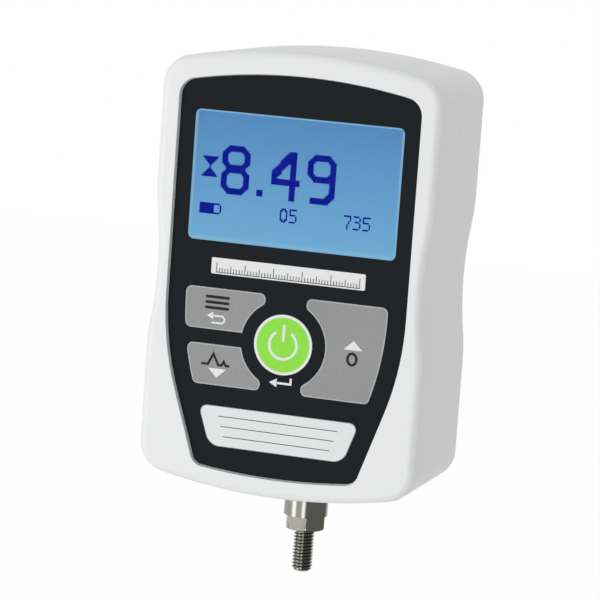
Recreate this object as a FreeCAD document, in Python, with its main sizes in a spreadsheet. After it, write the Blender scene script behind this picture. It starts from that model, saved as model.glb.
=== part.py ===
"""Hand-held digital force gauge, as an assembly of its separate pieces.

Millimetres. The origin is on the loading axis, at the shoulder where the threaded stud meets
its hexagon. +Z runs up the loading axis into the housing, the display looks along -Y, and +X is
to the right of the display.
"""
import FreeCAD
import Part
import math
import os
import re
import Sketcher

DRIVING = {
    # outline of both housing halves
    "housing_width": 66.0,
    "housing_height": 101.6,
    "housing_bottom": 11.7,
    "crown_radius": 134.0,
    "corner_radius": 7.0,
    "grip_depth": 1.4,
    "grip_half_length": 19.0,
    "grip_blend_radius": 40.0,
    # depths, front to back, and walls
    "front_depth": 16.3,
    "rear_depth": 21.7,
    "back_behind_axis": 10.4,
    "wall": 2.5,
    "front_edge_radius": 2.0,
    "back_edge_radius": 2.5,
    "lip_inset": 1.3,
    "lip_height": 1.2,
    "lip_gap": 0.15,
    # printed face panel, sunk in the front
    "face_rim": 1.0,
    "overlay_thickness": 0.4,
    "overlay_gap": 0.25,
    "floor_wall": 2.0,
    "panel_top_rim": 5.55,
    "panel_bottom_rim": 4.65,
    "panel_side_rim": 4.7,
    "overlay_crown_radius": 130.0,
    "overlay_corner": 4.0,
    "taper_above_button": 8.8,
    "taper_radius": 68.0,
    "taper_angle": 18.5,
    "foot_corner": 3.0,
    "foot_radius": 140.0,
    # display
    "display_below_panel_top": 23.95,
    "display_side_margin": 3.6,
    "display_height": 29.65,
    "display_corner": 1.4,
    "pane_margin": 1.2,
    "pane_thickness": 1.0,
    "pane_gap": 0.1,
    "glass_side_margin": 2.8,
    "glass_end_margin": 1.775,
    "glass_thickness": 2.2,
    "frame_rim": 1.0,
    "frame_clearance": 0.1,
    "backlight_thickness": 3.8,
    "contact_strip_width": 1.4,
    # keys round the power button
    "button_below_display": 36.6,
    "power_radius": 6.9,
    "key_arc_radius": 10.05,
    "key_inner_edge": 4.9,
    "key_rise": 11.15,
    "key_drop": 11.1,
    "split_above_button": 1.65,
    "split_below_button": 1.75,
    "key_margin": 4.3,
    "key_corner": 1.4,
    "key_thickness": 0.55,
    "key_proud": 0.15,
    "key_travel": 0.4,
    "key_gap": 0.12,
    "well_gap": 0.35,
    "well_spare": 0.2,
    "plunger_radius": 1.8,
    "plunger_gap": 0.15,
    "key_plunger_x": 15.8,
    "menu_plunger_rise": 6.4,
    "peak_plunger_drop": 6.2,
    # main board
    "board_gap": 6.4,
    "board_thickness": 1.6,
    "board_side_gap": 0.7,
    "board_above_panel_foot": 2.15,
    "board_past_standoff": 2.5,
    "board_chamfer": 4.5,
    "notch_half_height": 4.2,
    "notch_reach": 4.0,
    "standoff_radius": 2.3,
    "board_screw_radius": 1.1,
    "board_screw_head_radius": 2.1,
    "board_screw_head": 1.5,
    "board_screw_length": 5.6,
    "low_standoff_inset": 5.4,
    "low_standoff_rise": 5.5,
    "standoff_beside_dome": 0.35,
    "standoff_clearance": 1.1,
    "top_standoff_inset": 8.4,
    "dome_radius": 3.0,
    "dome_foot": 0.25,
    "dome_height": 0.6,
    "dome_crown_radius": 1.9,
    "chip_height": 1.2,
    "header_height": 5.0,
    "header_width": 5.0,
    "header_length": 4.0,
    "battery_header_x": 17.5,
    "charging_header_x": 17.0,
    "cell_header_inset": 4.8,
    "header_above_beam": 6.0,
    "header_below_jack": 6.0,
    "large_chip": 10.0,
    "small_chip": 5.0,
    "chip_x": 8.0,
    "chips_below_display": 12.8,
    "chip_above_display": 6.7,
    # sockets on the left side
    "usb_above_display": 12.2,
    "usb_width": 7.7,
    "usb_body": 3.9,
    "usb_length": 9.2,
    "usb_overhang": 2.5,
    "usb_shell": 0.4,
    "usb_tongue": 0.9,
    "usb_gap": 0.5,
    "jack_above_display": 4.2,
    "jack_radius": 4.0,
    "jack_shoulder_radius": 5.0,
    "jack_rib_gap": 4.35,
    "jack_bore_radius": 2.75,
    "jack_end": 3.5,
    "jack_pin_radius": 1.0,
    "jack_sunk": 0.3,
    # captive screws that close the housing
    "captive_inset": 7.6,
    "captive_radius": 2.0,
    "captive_head_radius": 3.5,
    "captive_head": 1.9,
    "captive_sunk": 0.3,
    "captive_reach": 7.0,
    "captive_tube_radius": 3.6,
    "captive_boss_radius": 3.3,
    "retainer_radius": 2.8,
    "retainer_thickness": 0.6,
    "seat_gap": 0.1,
    "thread_gap": 0.05,
    # mounting points on the back
    "insert_side_inset": 7.6,
    "insert_end_inset": 12.7,
    "insert_radius": 3.5,
    "insert_bore_radius": 2.083,
    "insert_length": 8.0,
    "insert_boss_radius": 4.7,
    "insert_floor": 1.0,
    "press_gap": 0.02,
    "dowel_insert_radius": 7.0,
    "dowel_insert_thickness": 4.5,
    "dowel_rise": 9.8,
    "dowel_bore_radius": 2.4,
    "dowel_bore_depth": 3.9,
    # load cell
    "beam_end_gap": 6.0,
    "beam_rise": 18.3,
    "beam_height": 16.0,
    "beam_depth": 11.0,
    "web_thickness": 1.2,
    "beam_centre_half": 8.5,
    "beam_end_block": 6.5,
    "window_overrun": 0.3,
    "slot_spare": 0.5,
    "beam_screw_inset": 3.1,
    "beam_screw_spacing": 8.0,
    "beam_screw_radius": 1.5,
    "beam_screw_head_radius": 2.75,
    "beam_screw_head": 2.5,
    "beam_screw_reach": 3.4,
    "beam_screw_clearance": 0.15,
    "stop_pin_x": 5.2,
    "stop_pin_radius": 1.6,
    "stop_clearance": 0.4,
    "stop_pin_front": 6.2,
    "stop_pin_seat": 3.2,
    "stop_boss_radius": 2.7,
    "gauge_length": 6.0,
    "gauge_thickness": 0.15,
    # loading shaft
    "thread_radius": 2.413,
    "thread_length": 10.1,
    "thread_chamfer": 0.6,
    "hex_across_flats": 8.73,
    "hex_height": 3.4,
    "hex_turn": 22.0,
    "hex_core_radius": 4.0,
    "collar_radius": 5.2,
    "collar_inside": 8.3,
    "neck_radius": 3.2,
    "flange_thickness": 3.0,
    "flange_radius": 4.6,
    "fixing_radius": 2.5,
    "fixing_length": 21.2,
    "washer_radius": 5.0,
    "washer_thickness": 0.8,
    "nut_across_flats": 8.0,
    "nut_height": 4.0,
    "shaft_hole_radius": 5.8,
    # battery
    "battery_width": 26.5,
    "battery_depth": 17.5,
    "battery_below_panel_top": 1.35,
    "battery_height": 46.4,
    "battery_corner": 2.0,
    "battery_pad": 0.7,
    "terminal_spacing": 12.7,
    "terminal_height": 2.1,
    "socket_terminal_radius": 3.9,
    "stud_terminal_radius": 2.9,
    "snap_side_gap": 0.75,
    "snap_depth": 12.0,
    "snap_thickness": 3.2,
    "rib_thickness": 1.5,
    "rib_gap": 0.6,
    "rib_height": 9.0,
    "lead_radius": 0.6,
    "lead_pitch": 2.0,
    "lead_bend": 1.3,
    "lead_straight": 2.5,
}

WORKED_OUT = {
    # housing outline, measured from the middle of the housing
    "half_width": "housing_width / 2",
    "half_height": "housing_height / 2",
    "housing_middle": "housing_bottom + half_height",
    "crown_centre": "half_height - crown_radius",
    "corner_x": "half_width - corner_radius",
    "corner_z": "crown_centre + sqrt((crown_radius - corner_radius)^2 - corner_x^2)",
    "corner_cos": "corner_x / (crown_radius - corner_radius)",
    "corner_sin": "(corner_z - crown_centre) / (crown_radius - corner_radius)",
    "grip_cos": "cos(2 * atan(grip_depth / grip_half_length))",
    "grip_sin": "sin(2 * atan(grip_depth / grip_half_length))",
    "grip_radius": "grip_half_length / grip_sin - grip_blend_radius",
    # planes, as distances in front of the loading axis
    "parting": "rear_depth - back_behind_axis",
    "front_face": "parting + front_depth",
    "panel_face": "front_face - face_rim",
    "panel_floor": "panel_face - overlay_thickness",
    "inner_face": "panel_floor - floor_wall",
    "board_front": "inner_face - board_gap",
    "board_back": "board_front - board_thickness",
    "back_wall": "wall - back_behind_axis",
    "key_face": "panel_face + key_proud",
    "key_back": "key_face - key_thickness",
    "glass_front": "inner_face - frame_clearance",
    "glass_back": "glass_front - glass_thickness",
    # face panel
    "housing_top": "housing_bottom + housing_height",
    "overlay_top": "housing_top - panel_top_rim",
    "overlay_bottom": "housing_bottom + panel_bottom_rim",
    "overlay_half": "half_width - panel_side_rim",
    "display_height_centre": "overlay_top - display_below_panel_top",
    "button_height": "display_height_centre - button_below_display",
    "taper_start": "button_height + taper_above_button",
    "overlay_crown_centre": "overlay_top - overlay_crown_radius",
    "overlay_corner_x": "overlay_half - overlay_corner",
    "overlay_corner_reach": "overlay_crown_radius - overlay_corner",
    "overlay_corner_z": "overlay_crown_centre + sqrt(overlay_corner_reach^2 - overlay_corner_x^2)",
    "overlay_corner_cos": "overlay_corner_x / overlay_corner_reach",
    "overlay_corner_sin": "(overlay_corner_z - overlay_crown_centre) / overlay_corner_reach",
    "taper_x": "overlay_half - taper_radius",
    "taper_cos": "cos(taper_angle)",
    "taper_sin": "sin(taper_angle)",
    "foot_line_x": "taper_x + (taper_radius - foot_corner) * taper_cos",
    "foot_line_z": "taper_start - (taper_radius - foot_corner) * taper_sin",
    "foot_centre": "overlay_bottom + foot_radius",
    "foot_reach": "foot_radius - foot_corner",
    "foot_along": "foot_line_x * taper_sin + (foot_line_z - foot_centre) * taper_cos",
    "foot_square": "foot_line_x^2 + (foot_line_z - foot_centre)^2",
    "foot_run": "foot_along + sqrt(foot_along^2 - foot_square + foot_reach^2)",
    "foot_x": "foot_line_x - foot_run * taper_sin",
    "foot_z": "foot_line_z - foot_run * taper_cos",
    "foot_cos": "foot_x / foot_reach",
    "foot_sin": "(foot_z - foot_centre) / foot_reach",
    # display
    "display_width": "2 * (overlay_half - display_side_margin)",
    "glass_width": "display_width + 2 * glass_side_margin",
    "glass_height": "display_height + 2 * glass_end_margin",
    "frame_width": "glass_width + 2 * (pane_gap + frame_rim)",
    "frame_height": "glass_height + 2 * (pane_gap + frame_rim)",
    # keys
    "key_top": "button_height + key_rise",
    "key_bottom": "button_height - key_drop",
    "upper_split": "button_height + split_above_button",
    "lower_split": "button_height - split_below_button",
    "key_nose": "0.55 * (key_drop - sqrt(key_arc_radius^2 - key_inner_edge^2))",
    "menu_plunger_z": "button_height + menu_plunger_rise",
    "peak_plunger_z": "button_height - peak_plunger_drop",
    "key_outer_edge": "overlay_half - key_margin",
    "key_side_radius": "taper_radius - key_margin",
    "plunger_end": "board_front + dome_height + thread_gap",
    # load cell and shaft
    "beam_bottom": "housing_bottom + beam_rise",
    "beam_half_length": "half_width - beam_end_gap",
    "flexure_start": "beam_centre_half",
    "flexure_end": "beam_half_length - beam_end_block",
    "window_radius": "(flexure_end - flexure_start) / 4 + window_overrun / 3",
    "window_near": "flexure_start + window_radius - window_overrun",
    "window_far": "flexure_end - window_radius + window_overrun",
    "window_slot": "window_radius + slot_spare",
    "flexure_height": "2 * (window_radius + web_thickness)",
    "gauge_width": "window_radius + window_overrun",
    "beam_screw_x": "beam_half_length - beam_screw_inset",
    "collar_top": "housing_bottom + collar_inside",
    "beam_top": "beam_bottom + beam_height",
    "beam_middle": "beam_bottom + beam_height / 2",
    "half_beam_depth": "beam_depth / 2",
    "half_flexure": "flexure_height / 2",
    "washer_top": "beam_top + washer_thickness",
    "hex_corner": "hex_across_flats / sqrt(3)",
    "nut_corner": "nut_across_flats / sqrt(3)",
    # mounting points and battery
    "insert_x": "half_width - insert_side_inset",
    "insert_low_z": "housing_bottom + insert_end_inset",
    "insert_high_z": "housing_top - insert_end_inset",
    "dowel_insert_z": "housing_bottom + dowel_rise",
    "captive_x": "half_width - captive_inset",
    "battery_back": "back_wall + battery_pad",
    "battery_front": "battery_back + battery_depth",
    "battery_top": "overlay_top - battery_below_panel_top",
    "battery_bottom": "battery_top - battery_height",
    "half_battery": "battery_width / 2",
    "snap_width": "battery_width - 2 * snap_side_gap",
    "rib_x": "half_battery + rib_gap",
    # board, with its headers, chips and sockets
    "board_width": "housing_width - 2 * (wall + grip_depth + board_side_gap)",
    "board_bottom": "overlay_bottom + board_above_panel_foot",
    "low_standoff_x": "board_width / 2 - low_standoff_inset",
    "low_standoff_z": "board_bottom + low_standoff_rise",
    "standoff_reach": "frame_height / 2 + standoff_clearance + standoff_radius",
    "mid_standoff_x": "key_plunger_x - dome_radius - standoff_radius - standoff_beside_dome",
    "mid_standoff_z": "display_height_centre - standoff_reach",
    "top_standoff_x": "board_width / 2 - top_standoff_inset",
    "top_standoff_z": "display_height_centre + standoff_reach",
    "board_top": "top_standoff_z + board_past_standoff",
    "notch_edge": "captive_x - notch_reach",
    "usb_height": "display_height_centre + usb_above_display",
    "jack_height": "display_height_centre + jack_above_display",
    "jack_length": "half_width - jack_sunk - rib_x - rib_thickness - jack_rib_gap",
    "jack_bore_depth": "jack_length - jack_end",
    "header_z": "beam_top + header_above_beam",
    "charging_header_z": "jack_height - header_below_jack",
    "cell_header_x": "beam_half_length - cell_header_inset",
}

doc = FreeCAD.newDocument("force_gauge")
sheet = doc.addObject("Spreadsheet::Sheet", "Sizes")
for row, (name, size) in enumerate(DRIVING.items(), 1):
    sheet.set("A%d" % row, name)
    sheet.set("B%d" % row, str(size))
    sheet.setAlias("B%d" % row, name)
for row, (name, rule) in enumerate(WORKED_OUT.items(), len(DRIVING) + 1):
    sheet.set("A%d" % row, name)
    sheet.set("B%d" % row, "=" + rule)
    sheet.setAlias("B%d" % row, name)
doc.recompute()

UPWARDS = FreeCAD.Vector(0, 0, 1)
nodes = []


def formula(rule):
    """Turn a rule in the sheet's words into an expression that other objects can hold."""
    return re.sub(r"\b[a-z_]+\b(?!\()", lambda word: "Sizes." + word.group(), rule)


def value(rule):
    """Work out a rule as a plain number."""
    return float(sheet.evalExpression(formula(rule)))


def minus(rule):
    return rule if rule == "0" else "-(%s)" % rule


def both_sides(x_rule, z_rule):
    return [(x_rule, z_rule), (minus(x_rule), z_rule)]


def new_body(label):
    """Start a sub-part; like fasteners are several solids of one body."""
    body = doc.addObject("PartDesign::Body", label)
    body.Label = label
    body.AllowCompound = True
    body.Placement = FreeCAD.Placement()
    nodes.append(body)
    return body


def new_sketch(body, plane, offset, rise="0"):
    """Put a sketch on an origin plane of the body, moved off it and along its second axis."""
    sketch = body.newObject("Sketcher::SketchObject", body.Name + "_sketch")
    origin = [item for item in body.Origin.OriginFeatures if item.Role == plane][0]
    sketch.AttachmentSupport = [(origin, "")]
    sketch.MapMode = "FlatFace"
    sketch.setExpression("AttachmentOffset.Base.z", formula(offset))
    sketch.setExpression("AttachmentOffset.Base.y", formula(rise))
    return sketch


def front_sketch(body, before_axis, rise="0"):
    """Sketch across X and up Z, at a distance in front of the loading axis."""
    return new_sketch(body, "XZ_Plane", before_axis, rise)


def level_sketch(body, height):
    """Sketch across X and back along Y, at a height."""
    return new_sketch(body, "XY_Plane", height)


def side_sketch(body, across):
    """Sketch back along Y and up Z, at a distance along X."""
    return new_sketch(body, "YZ_Plane", across)


def tie(sketch, element, point, x_rule, y_rule):
    """Hold a point of a sketch at the place that two rules give."""
    for kind, rule, axis in (("DistanceX", x_rule, -2), ("DistanceY", y_rule, -1)):
        if rule == "0":
            sketch.addConstraint(Sketcher.Constraint("PointOnObject", element, point, axis))
            continue
        number = sketch.addConstraint(
            Sketcher.Constraint(kind, -1, 1, element, point, value(rule)))
        sketch.setExpression("Constraints[%d]" % number, formula(rule))


def hold_radius(sketch, element, rule):
    number = sketch.addConstraint(Sketcher.Constraint("Radius", element, value(rule)))
    sketch.setExpression("Constraints[%d]" % number, formula(rule))


def arc_between(start, end, radius, hollow):
    """Arc of an outline drawn anticlockwise, bulging out of it or hollow into it."""
    along = end - start
    left = FreeCAD.Vector(-along.y, along.x, 0).normalize()
    rise = math.sqrt(radius ** 2 - (along.Length / 2) ** 2)
    centre = (start + end) / 2 + left * (-rise if hollow else rise)
    first, last = (end, start) if hollow else (start, end)
    turn_from = math.atan2(first.y - centre.y, first.x - centre.x)
    turn_to = math.atan2(last.y - centre.y, last.x - centre.x)
    if turn_to < turn_from:
        turn_to += 2 * math.pi
    return Part.ArcOfCircle(Part.Circle(centre, UPWARDS, radius), turn_from, turn_to)


def outline(sketch, corners, arcs=None, hollows=()):
    """Draw a closed outline, anticlockwise, with each corner tied to its rules.

    arcs gives the radius of each side that is an arc, by the number of the corner that it
    starts from, and hollows names the arcs that curve inwards.
    """
    arcs = arcs or {}
    places = [FreeCAD.Vector(value(x), value(y), 0) for x, y in corners]
    first = sketch.GeometryCount
    ends = []
    for number, start in enumerate(places):
        end = places[(number + 1) % len(places)]
        if number in arcs:
            side = arc_between(start, end, value(arcs[number]), number in hollows)
        else:
            side = Part.LineSegment(start, end)
        sketch.addGeometry(side)
        ends.append((2, 1) if number in hollows else (1, 2))
    for number, (x_rule, y_rule) in enumerate(corners):
        after = (number + 1) % len(corners)
        sketch.addConstraint(Sketcher.Constraint(
            "Coincident", first + number, ends[number][1], first + after, ends[after][0]))
        tie(sketch, first + number, ends[number][0], x_rule, y_rule)
    for number, rule in arcs.items():
        hold_radius(sketch, first + number, rule)


def box_outline(sketch, left, right, low, high):
    outline(sketch, [(left, low), (right, low), (right, high), (left, high)])


def square(sketch, x_rule, z_rule, width, height):
    """Draw a rectangle about its centre."""
    box_outline(sketch, "%s - %s / 2" % (x_rule, width), "%s + %s / 2" % (x_rule, width),
                "%s - %s / 2" % (z_rule, height), "%s + %s / 2" % (z_rule, height))


def discs(sketch, places, radius):
    """Draw equal circles at the places."""
    for x_rule, y_rule in places:
        centre = FreeCAD.Vector(value(x_rule), value(y_rule), 0)
        number = sketch.addGeometry(Part.Circle(centre, UPWARDS, value(radius)))
        hold_radius(sketch, number, radius)
        tie(sketch, number, 3, x_rule, y_rule)


def hexagon(sketch, x_rule, y_rule, corner, turn):
    corners = []
    for step in range(6):
        angle = "(%s + %d)" % (turn, 60 * step)
        corners.append(("%s + %s * cos%s" % (x_rule, corner, angle),
                        "%s + %s * sin%s" % (y_rule, corner, angle)))
    outline(sketch, corners)


def pad(body, sketch, length, backwards=False):
    """Grow the sketch along its own direction, or against it."""
    feature = body.newObject("PartDesign::Pad", body.Name + "_pad")
    feature.Profile = sketch
    feature.setExpression("Length", formula(length))
    feature.Reversed = backwards
    doc.recompute()
    return feature


def pocket(body, sketch, depth, forwards=False):
    """Cut from the sketch against its own direction, or along it."""
    before = body.Shape.Volume
    feature = body.newObject("PartDesign::Pocket", body.Name + "_pocket")
    feature.Profile = sketch
    feature.setExpression("Length", formula(depth))
    feature.Reversed = forwards
    doc.recompute()
    if body.Shape.Volume > before - 1e-6:
        raise ValueError("a pocket of %s cuts nothing" % body.Label)
    return feature


def turned(body, sketch, cut=False):
    """Revolve the sketch about its own upright axis, as a solid or as a cut."""
    kind = "Groove" if cut else "Revolution"
    feature = body.newObject("PartDesign::" + kind, body.Name + "_turned")
    feature.Profile = sketch
    feature.ReferenceAxis = (sketch, ["V_Axis"])
    feature.Angle = 360
    doc.recompute()
    return feature


def round_edges(body, radius, wanted):
    """Fillet the edges of the body that the test picks."""
    base = body.Tip
    names = ["Edge%d" % (number + 1) for number, edge in enumerate(base.Shape.Edges)
             if wanted(edge)]
    feature = body.newObject("PartDesign::Fillet", body.Name + "_fillet")
    feature.Base = (base, names)
    feature.setExpression("Radius", formula(radius))
    doc.recompute()
    return feature


def in_plane(y_place):
    """Test for edges that lie in a plane across Y."""
    def wanted(edge):
        box = edge.BoundBox
        return abs(box.YMin - y_place) < 1e-4 and abs(box.YMax - y_place) < 1e-4
    return wanted


def along_depth(places):
    """Test for straight edges along Y that stand at one of the places."""
    spots = [(value(x), value(z)) for x, z in places]

    def wanted(edge):
        box = edge.BoundBox
        if box.YLength < 1e-3 or box.XLength > 1e-3 or box.ZLength > 1e-3:
            return False
        return any(math.hypot(box.XMin - x, box.ZMin - z) < 0.05 for x, z in spots)
    return wanted


# Outlines that several pieces share, each moved inwards by a given distance.

def housing_outline(sketch, inset):
    """Crowned top and bottom, round corners and a shallow finger grip in each side."""
    blend_x = "half_width - grip_blend_radius"
    blend = "(grip_blend_radius - (%s))" % inset
    corner = "(corner_radius - (%s))" % inset
    quarter = [
        ("%s + %s * grip_cos" % (blend_x, blend),
         "grip_half_length - %s * grip_sin" % blend),
        ("half_width - (%s)" % inset, "grip_half_length"),
        ("half_width - (%s)" % inset, "corner_z"),
        ("corner_x + %s * corner_cos" % corner, "corner_z + %s * corner_sin" % corner),
    ]
    upper_left = [(minus(x), z) for x, z in reversed(quarter)]
    lower_left = [(minus(x), minus(z)) for x, z in quarter]
    lower_right = [(x, minus(z)) for x, z in reversed(quarter)]
    arcs = {}
    for first in (0, 8):
        arcs[first] = arcs[first + 6] = blend
        arcs[first + 2] = arcs[first + 4] = corner
        arcs[first + 3] = "crown_radius - (%s)" % inset
        arcs[first + 7] = "grip_radius + (%s)" % inset
    outline(sketch, quarter + upper_left + lower_left + lower_right, arcs, (7, 15))


def panel_outline(sketch, inset):
    """Face panel: straight upper sides that curve in and taper to a narrower foot."""
    crown_corner = "(overlay_corner - (%s))" % inset
    foot = "(foot_corner - (%s))" % inset
    taper = "(taper_radius - (%s))" % inset
    right = [
        ("foot_x + %s * foot_cos" % foot, "foot_z + %s * foot_sin" % foot),
        ("foot_x + %s * taper_cos" % foot, "foot_z - %s * taper_sin" % foot),
        ("taper_x + %s * taper_cos" % taper, "taper_start - %s * taper_sin" % taper),
        ("overlay_half - (%s)" % inset, "taper_start"),
        ("overlay_half - (%s)" % inset, "overlay_corner_z"),
        ("overlay_corner_x + %s * overlay_corner_cos" % crown_corner,
         "overlay_corner_z + %s * overlay_corner_sin" % crown_corner),
    ]
    left = [(minus(x), z) for x, z in reversed(right)]
    arcs = {
        0: foot, 2: taper, 4: crown_corner,
        5: "overlay_crown_radius - (%s)" % inset,
        6: crown_corner, 8: taper, 10: foot,
        11: "foot_radius - (%s)" % inset,
    }
    outline(sketch, right + left, arcs)


def key_rules(inset):
    """Rules that the three grey keys share: their edges all follow the panel and the button."""
    arc = "(key_arc_radius + (%s))" % inset
    side = "(key_side_radius - (%s))" % inset
    return {
        "arc": arc,
        "side": side,
        "inner": "key_inner_edge + (%s)" % inset,
        "outer": "key_outer_edge - (%s)" % inset,
        "top": "key_top - (%s)" % inset,
        "bottom": "key_bottom + (%s)" % inset,
        "arc_rise": "sqrt(%s^2 - (key_inner_edge + (%s))^2)" % (arc, inset),
        "side_at": "taper_x + sqrt(%s^2 - (taper_start - (%%s))^2)" % side,
        "arc_at": "sqrt(%s^2 - ((%%s) - button_height)^2)" % arc,
    }


def zero_outline(sketch, inset):
    """Tall right-hand key."""
    rule = key_rules(inset)
    outline(sketch, [
        (rule["inner"], rule["bottom"]),
        (rule["side_at"] % rule["bottom"], rule["bottom"]),
        (rule["outer"], "taper_start"),
        (rule["outer"], rule["top"]),
        (rule["inner"], rule["top"]),
        (rule["inner"], "button_height + " + rule["arc_rise"]),
        (rule["inner"], "button_height - " + rule["arc_rise"]),
    ], {1: rule["side"], 5: rule["arc"]}, (5,))


def menu_outline(sketch, inset):
    """Upper left-hand key."""
    rule = key_rules(inset)
    low = "upper_split + (%s)" % inset
    outline(sketch, [
        (minus(rule["inner"]), "button_height + " + rule["arc_rise"]),
        (minus(rule["inner"]), rule["top"]),
        (minus(rule["outer"]), rule["top"]),
        (minus(rule["outer"]), "taper_start"),
        (minus(rule["side_at"] % low), low),
        (minus(rule["arc_at"] % low), low),
    ], {3: rule["side"], 5: rule["arc"]}, (5,))


def peak_outline(sketch, inset):
    """Lower left-hand key."""
    rule = key_rules(inset)
    high = "lower_split - (%s)" % inset
    outline(sketch, [
        (minus(rule["inner"]), rule["bottom"]),
        (minus(rule["inner"]), "button_height - " + rule["arc_rise"]),
        (minus(rule["arc_at"] % high), high),
        (minus(rule["side_at"] % high), high),
        (minus(rule["side_at"] % rule["bottom"]), rule["bottom"]),
    ], {1: rule["arc"], 3: rule["side"]}, (1,))


def power_outline(sketch, inset):
    discs(sketch, [("0", "button_height")], "power_radius - (%s)" % inset)


def key_noses(inset):
    """Corners beside the round cut-out, above and below the power button."""
    rule = key_rules(inset)
    return [
        (rule["inner"], rule["bottom"]),
        (rule["inner"], rule["top"]),
        (minus(rule["inner"]), rule["top"]),
        (minus(rule["inner"]), rule["bottom"]),
        (rule["inner"], "button_height + " + rule["arc_rise"]),
        (rule["inner"], "button_height - " + rule["arc_rise"]),
        (minus(rule["inner"]), "button_height + " + rule["arc_rise"]),
        (minus(rule["inner"]), "button_height - " + rule["arc_rise"]),
    ]


def key_corners(inset):
    """Outer corners of the three grey keys."""
    rule = key_rules(inset)
    low = "upper_split + (%s)" % inset
    high = "lower_split - (%s)" % inset
    return [
        (rule["side_at"] % rule["bottom"], rule["bottom"]),
        (rule["outer"], rule["top"]),
        (minus(rule["outer"]), rule["top"]),
        (minus(rule["side_at"] % low), low),
        (minus(rule["side_at"] % high), high),
        (minus(rule["side_at"] % rule["bottom"]), rule["bottom"]),
    ]


KEYS = {
    "menu_key": (menu_outline, ("-key_plunger_x", "menu_plunger_z")),
    "peak_key": (peak_outline, ("-key_plunger_x", "peak_plunger_z")),
    "zero_key": (zero_outline, ("key_plunger_x", "button_height")),
    "power_key": (power_outline, ("0", "button_height")),
}
PLUNGERS = [place for shape, place in KEYS.values()]
LOW_STANDOFFS = both_sides("low_standoff_x", "low_standoff_z")
MID_STANDOFFS = both_sides("mid_standoff_x", "mid_standoff_z")
TOP_STANDOFFS = both_sides("top_standoff_x", "top_standoff_z")
STANDOFFS = LOW_STANDOFFS + MID_STANDOFFS + TOP_STANDOFFS
CAPTIVES = both_sides("captive_x", "housing_middle")
INSERTS = both_sides("insert_x", "insert_low_z") + both_sides("insert_x", "insert_high_z")
BEAM_SCREWS = (both_sides("beam_screw_x", "beam_middle - beam_screw_spacing / 2")
               + both_sides("beam_screw_x", "beam_middle + beam_screw_spacing / 2"))
STOP_PINS = both_sides("stop_pin_x", "beam_middle")


def front_housing():
    """Cast front half: wells for the panel, keys and display, and bosses inside."""
    body = new_body("front_housing")
    shell = front_sketch(body, "parting", "housing_middle")
    housing_outline(shell, "0")
    pad(body, shell, "front_depth")
    round_edges(body, "front_edge_radius", in_plane(-value("front_face")))
    lip = front_sketch(body, "parting", "housing_middle")
    housing_outline(lip, "lip_inset")
    pad(body, lip, "lip_height", backwards=True)
    cavity = front_sketch(body, "parting - lip_height", "housing_middle")
    housing_outline(cavity, "wall")
    pocket(body, cavity, "inner_face - parting + lip_height", forwards=True)
    recess = front_sketch(body, "front_face")
    panel_outline(recess, "-overlay_gap")
    pocket(body, recess, "face_rim + overlay_thickness")

    pane = front_sketch(body, "panel_floor")
    box_outline(pane, "-(display_width / 2 + pane_margin)", "display_width / 2 + pane_margin",
                "display_height_centre - display_height / 2 - pane_margin",
                "display_height_centre + display_height / 2 + pane_margin")
    pocket(body, pane, "pane_thickness")
    opening = front_sketch(body, "panel_floor")
    box_outline(opening, "-display_width / 2", "display_width / 2",
                "display_height_centre - display_height / 2",
                "display_height_centre + display_height / 2")
    pocket(body, opening, "floor_wall + 1")

    for shape, place in KEYS.values():
        well = front_sketch(body, "panel_floor")
        shape(well, "-well_gap")
        pocket(body, well, "key_travel + well_spare - (key_back - panel_floor)")
    bores = front_sketch(body, "panel_floor")
    discs(bores, PLUNGERS, "plunger_radius + plunger_gap")
    pocket(body, bores, "floor_wall + 1")

    standoffs = front_sketch(body, "inner_face")
    discs(standoffs, STANDOFFS, "standoff_radius")
    pad(body, standoffs, "board_gap", backwards=True)
    bosses = front_sketch(body, "inner_face")
    discs(bosses, CAPTIVES, "captive_boss_radius")
    pad(body, bosses, "inner_face - parting", backwards=True)
    screw_holes = front_sketch(body, "board_front")
    discs(screw_holes, STANDOFFS, "board_screw_radius + thread_gap")
    pocket(body, screw_holes, "board_screw_length - board_thickness + seat_gap", forwards=True)
    captive_holes = front_sketch(body, "parting")
    discs(captive_holes, CAPTIVES, "captive_radius + thread_gap")
    pocket(body, captive_holes, "captive_reach + 1", forwards=True)

    window = side_sketch(body, "-half_width")
    box_outline(window, "-board_back - usb_gap", "-board_back + usb_body + usb_gap",
                "usb_height - usb_width / 2 - usb_gap",
                "usb_height + usb_width / 2 + usb_gap")
    pocket(body, window, "wall + 1", forwards=True)


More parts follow.
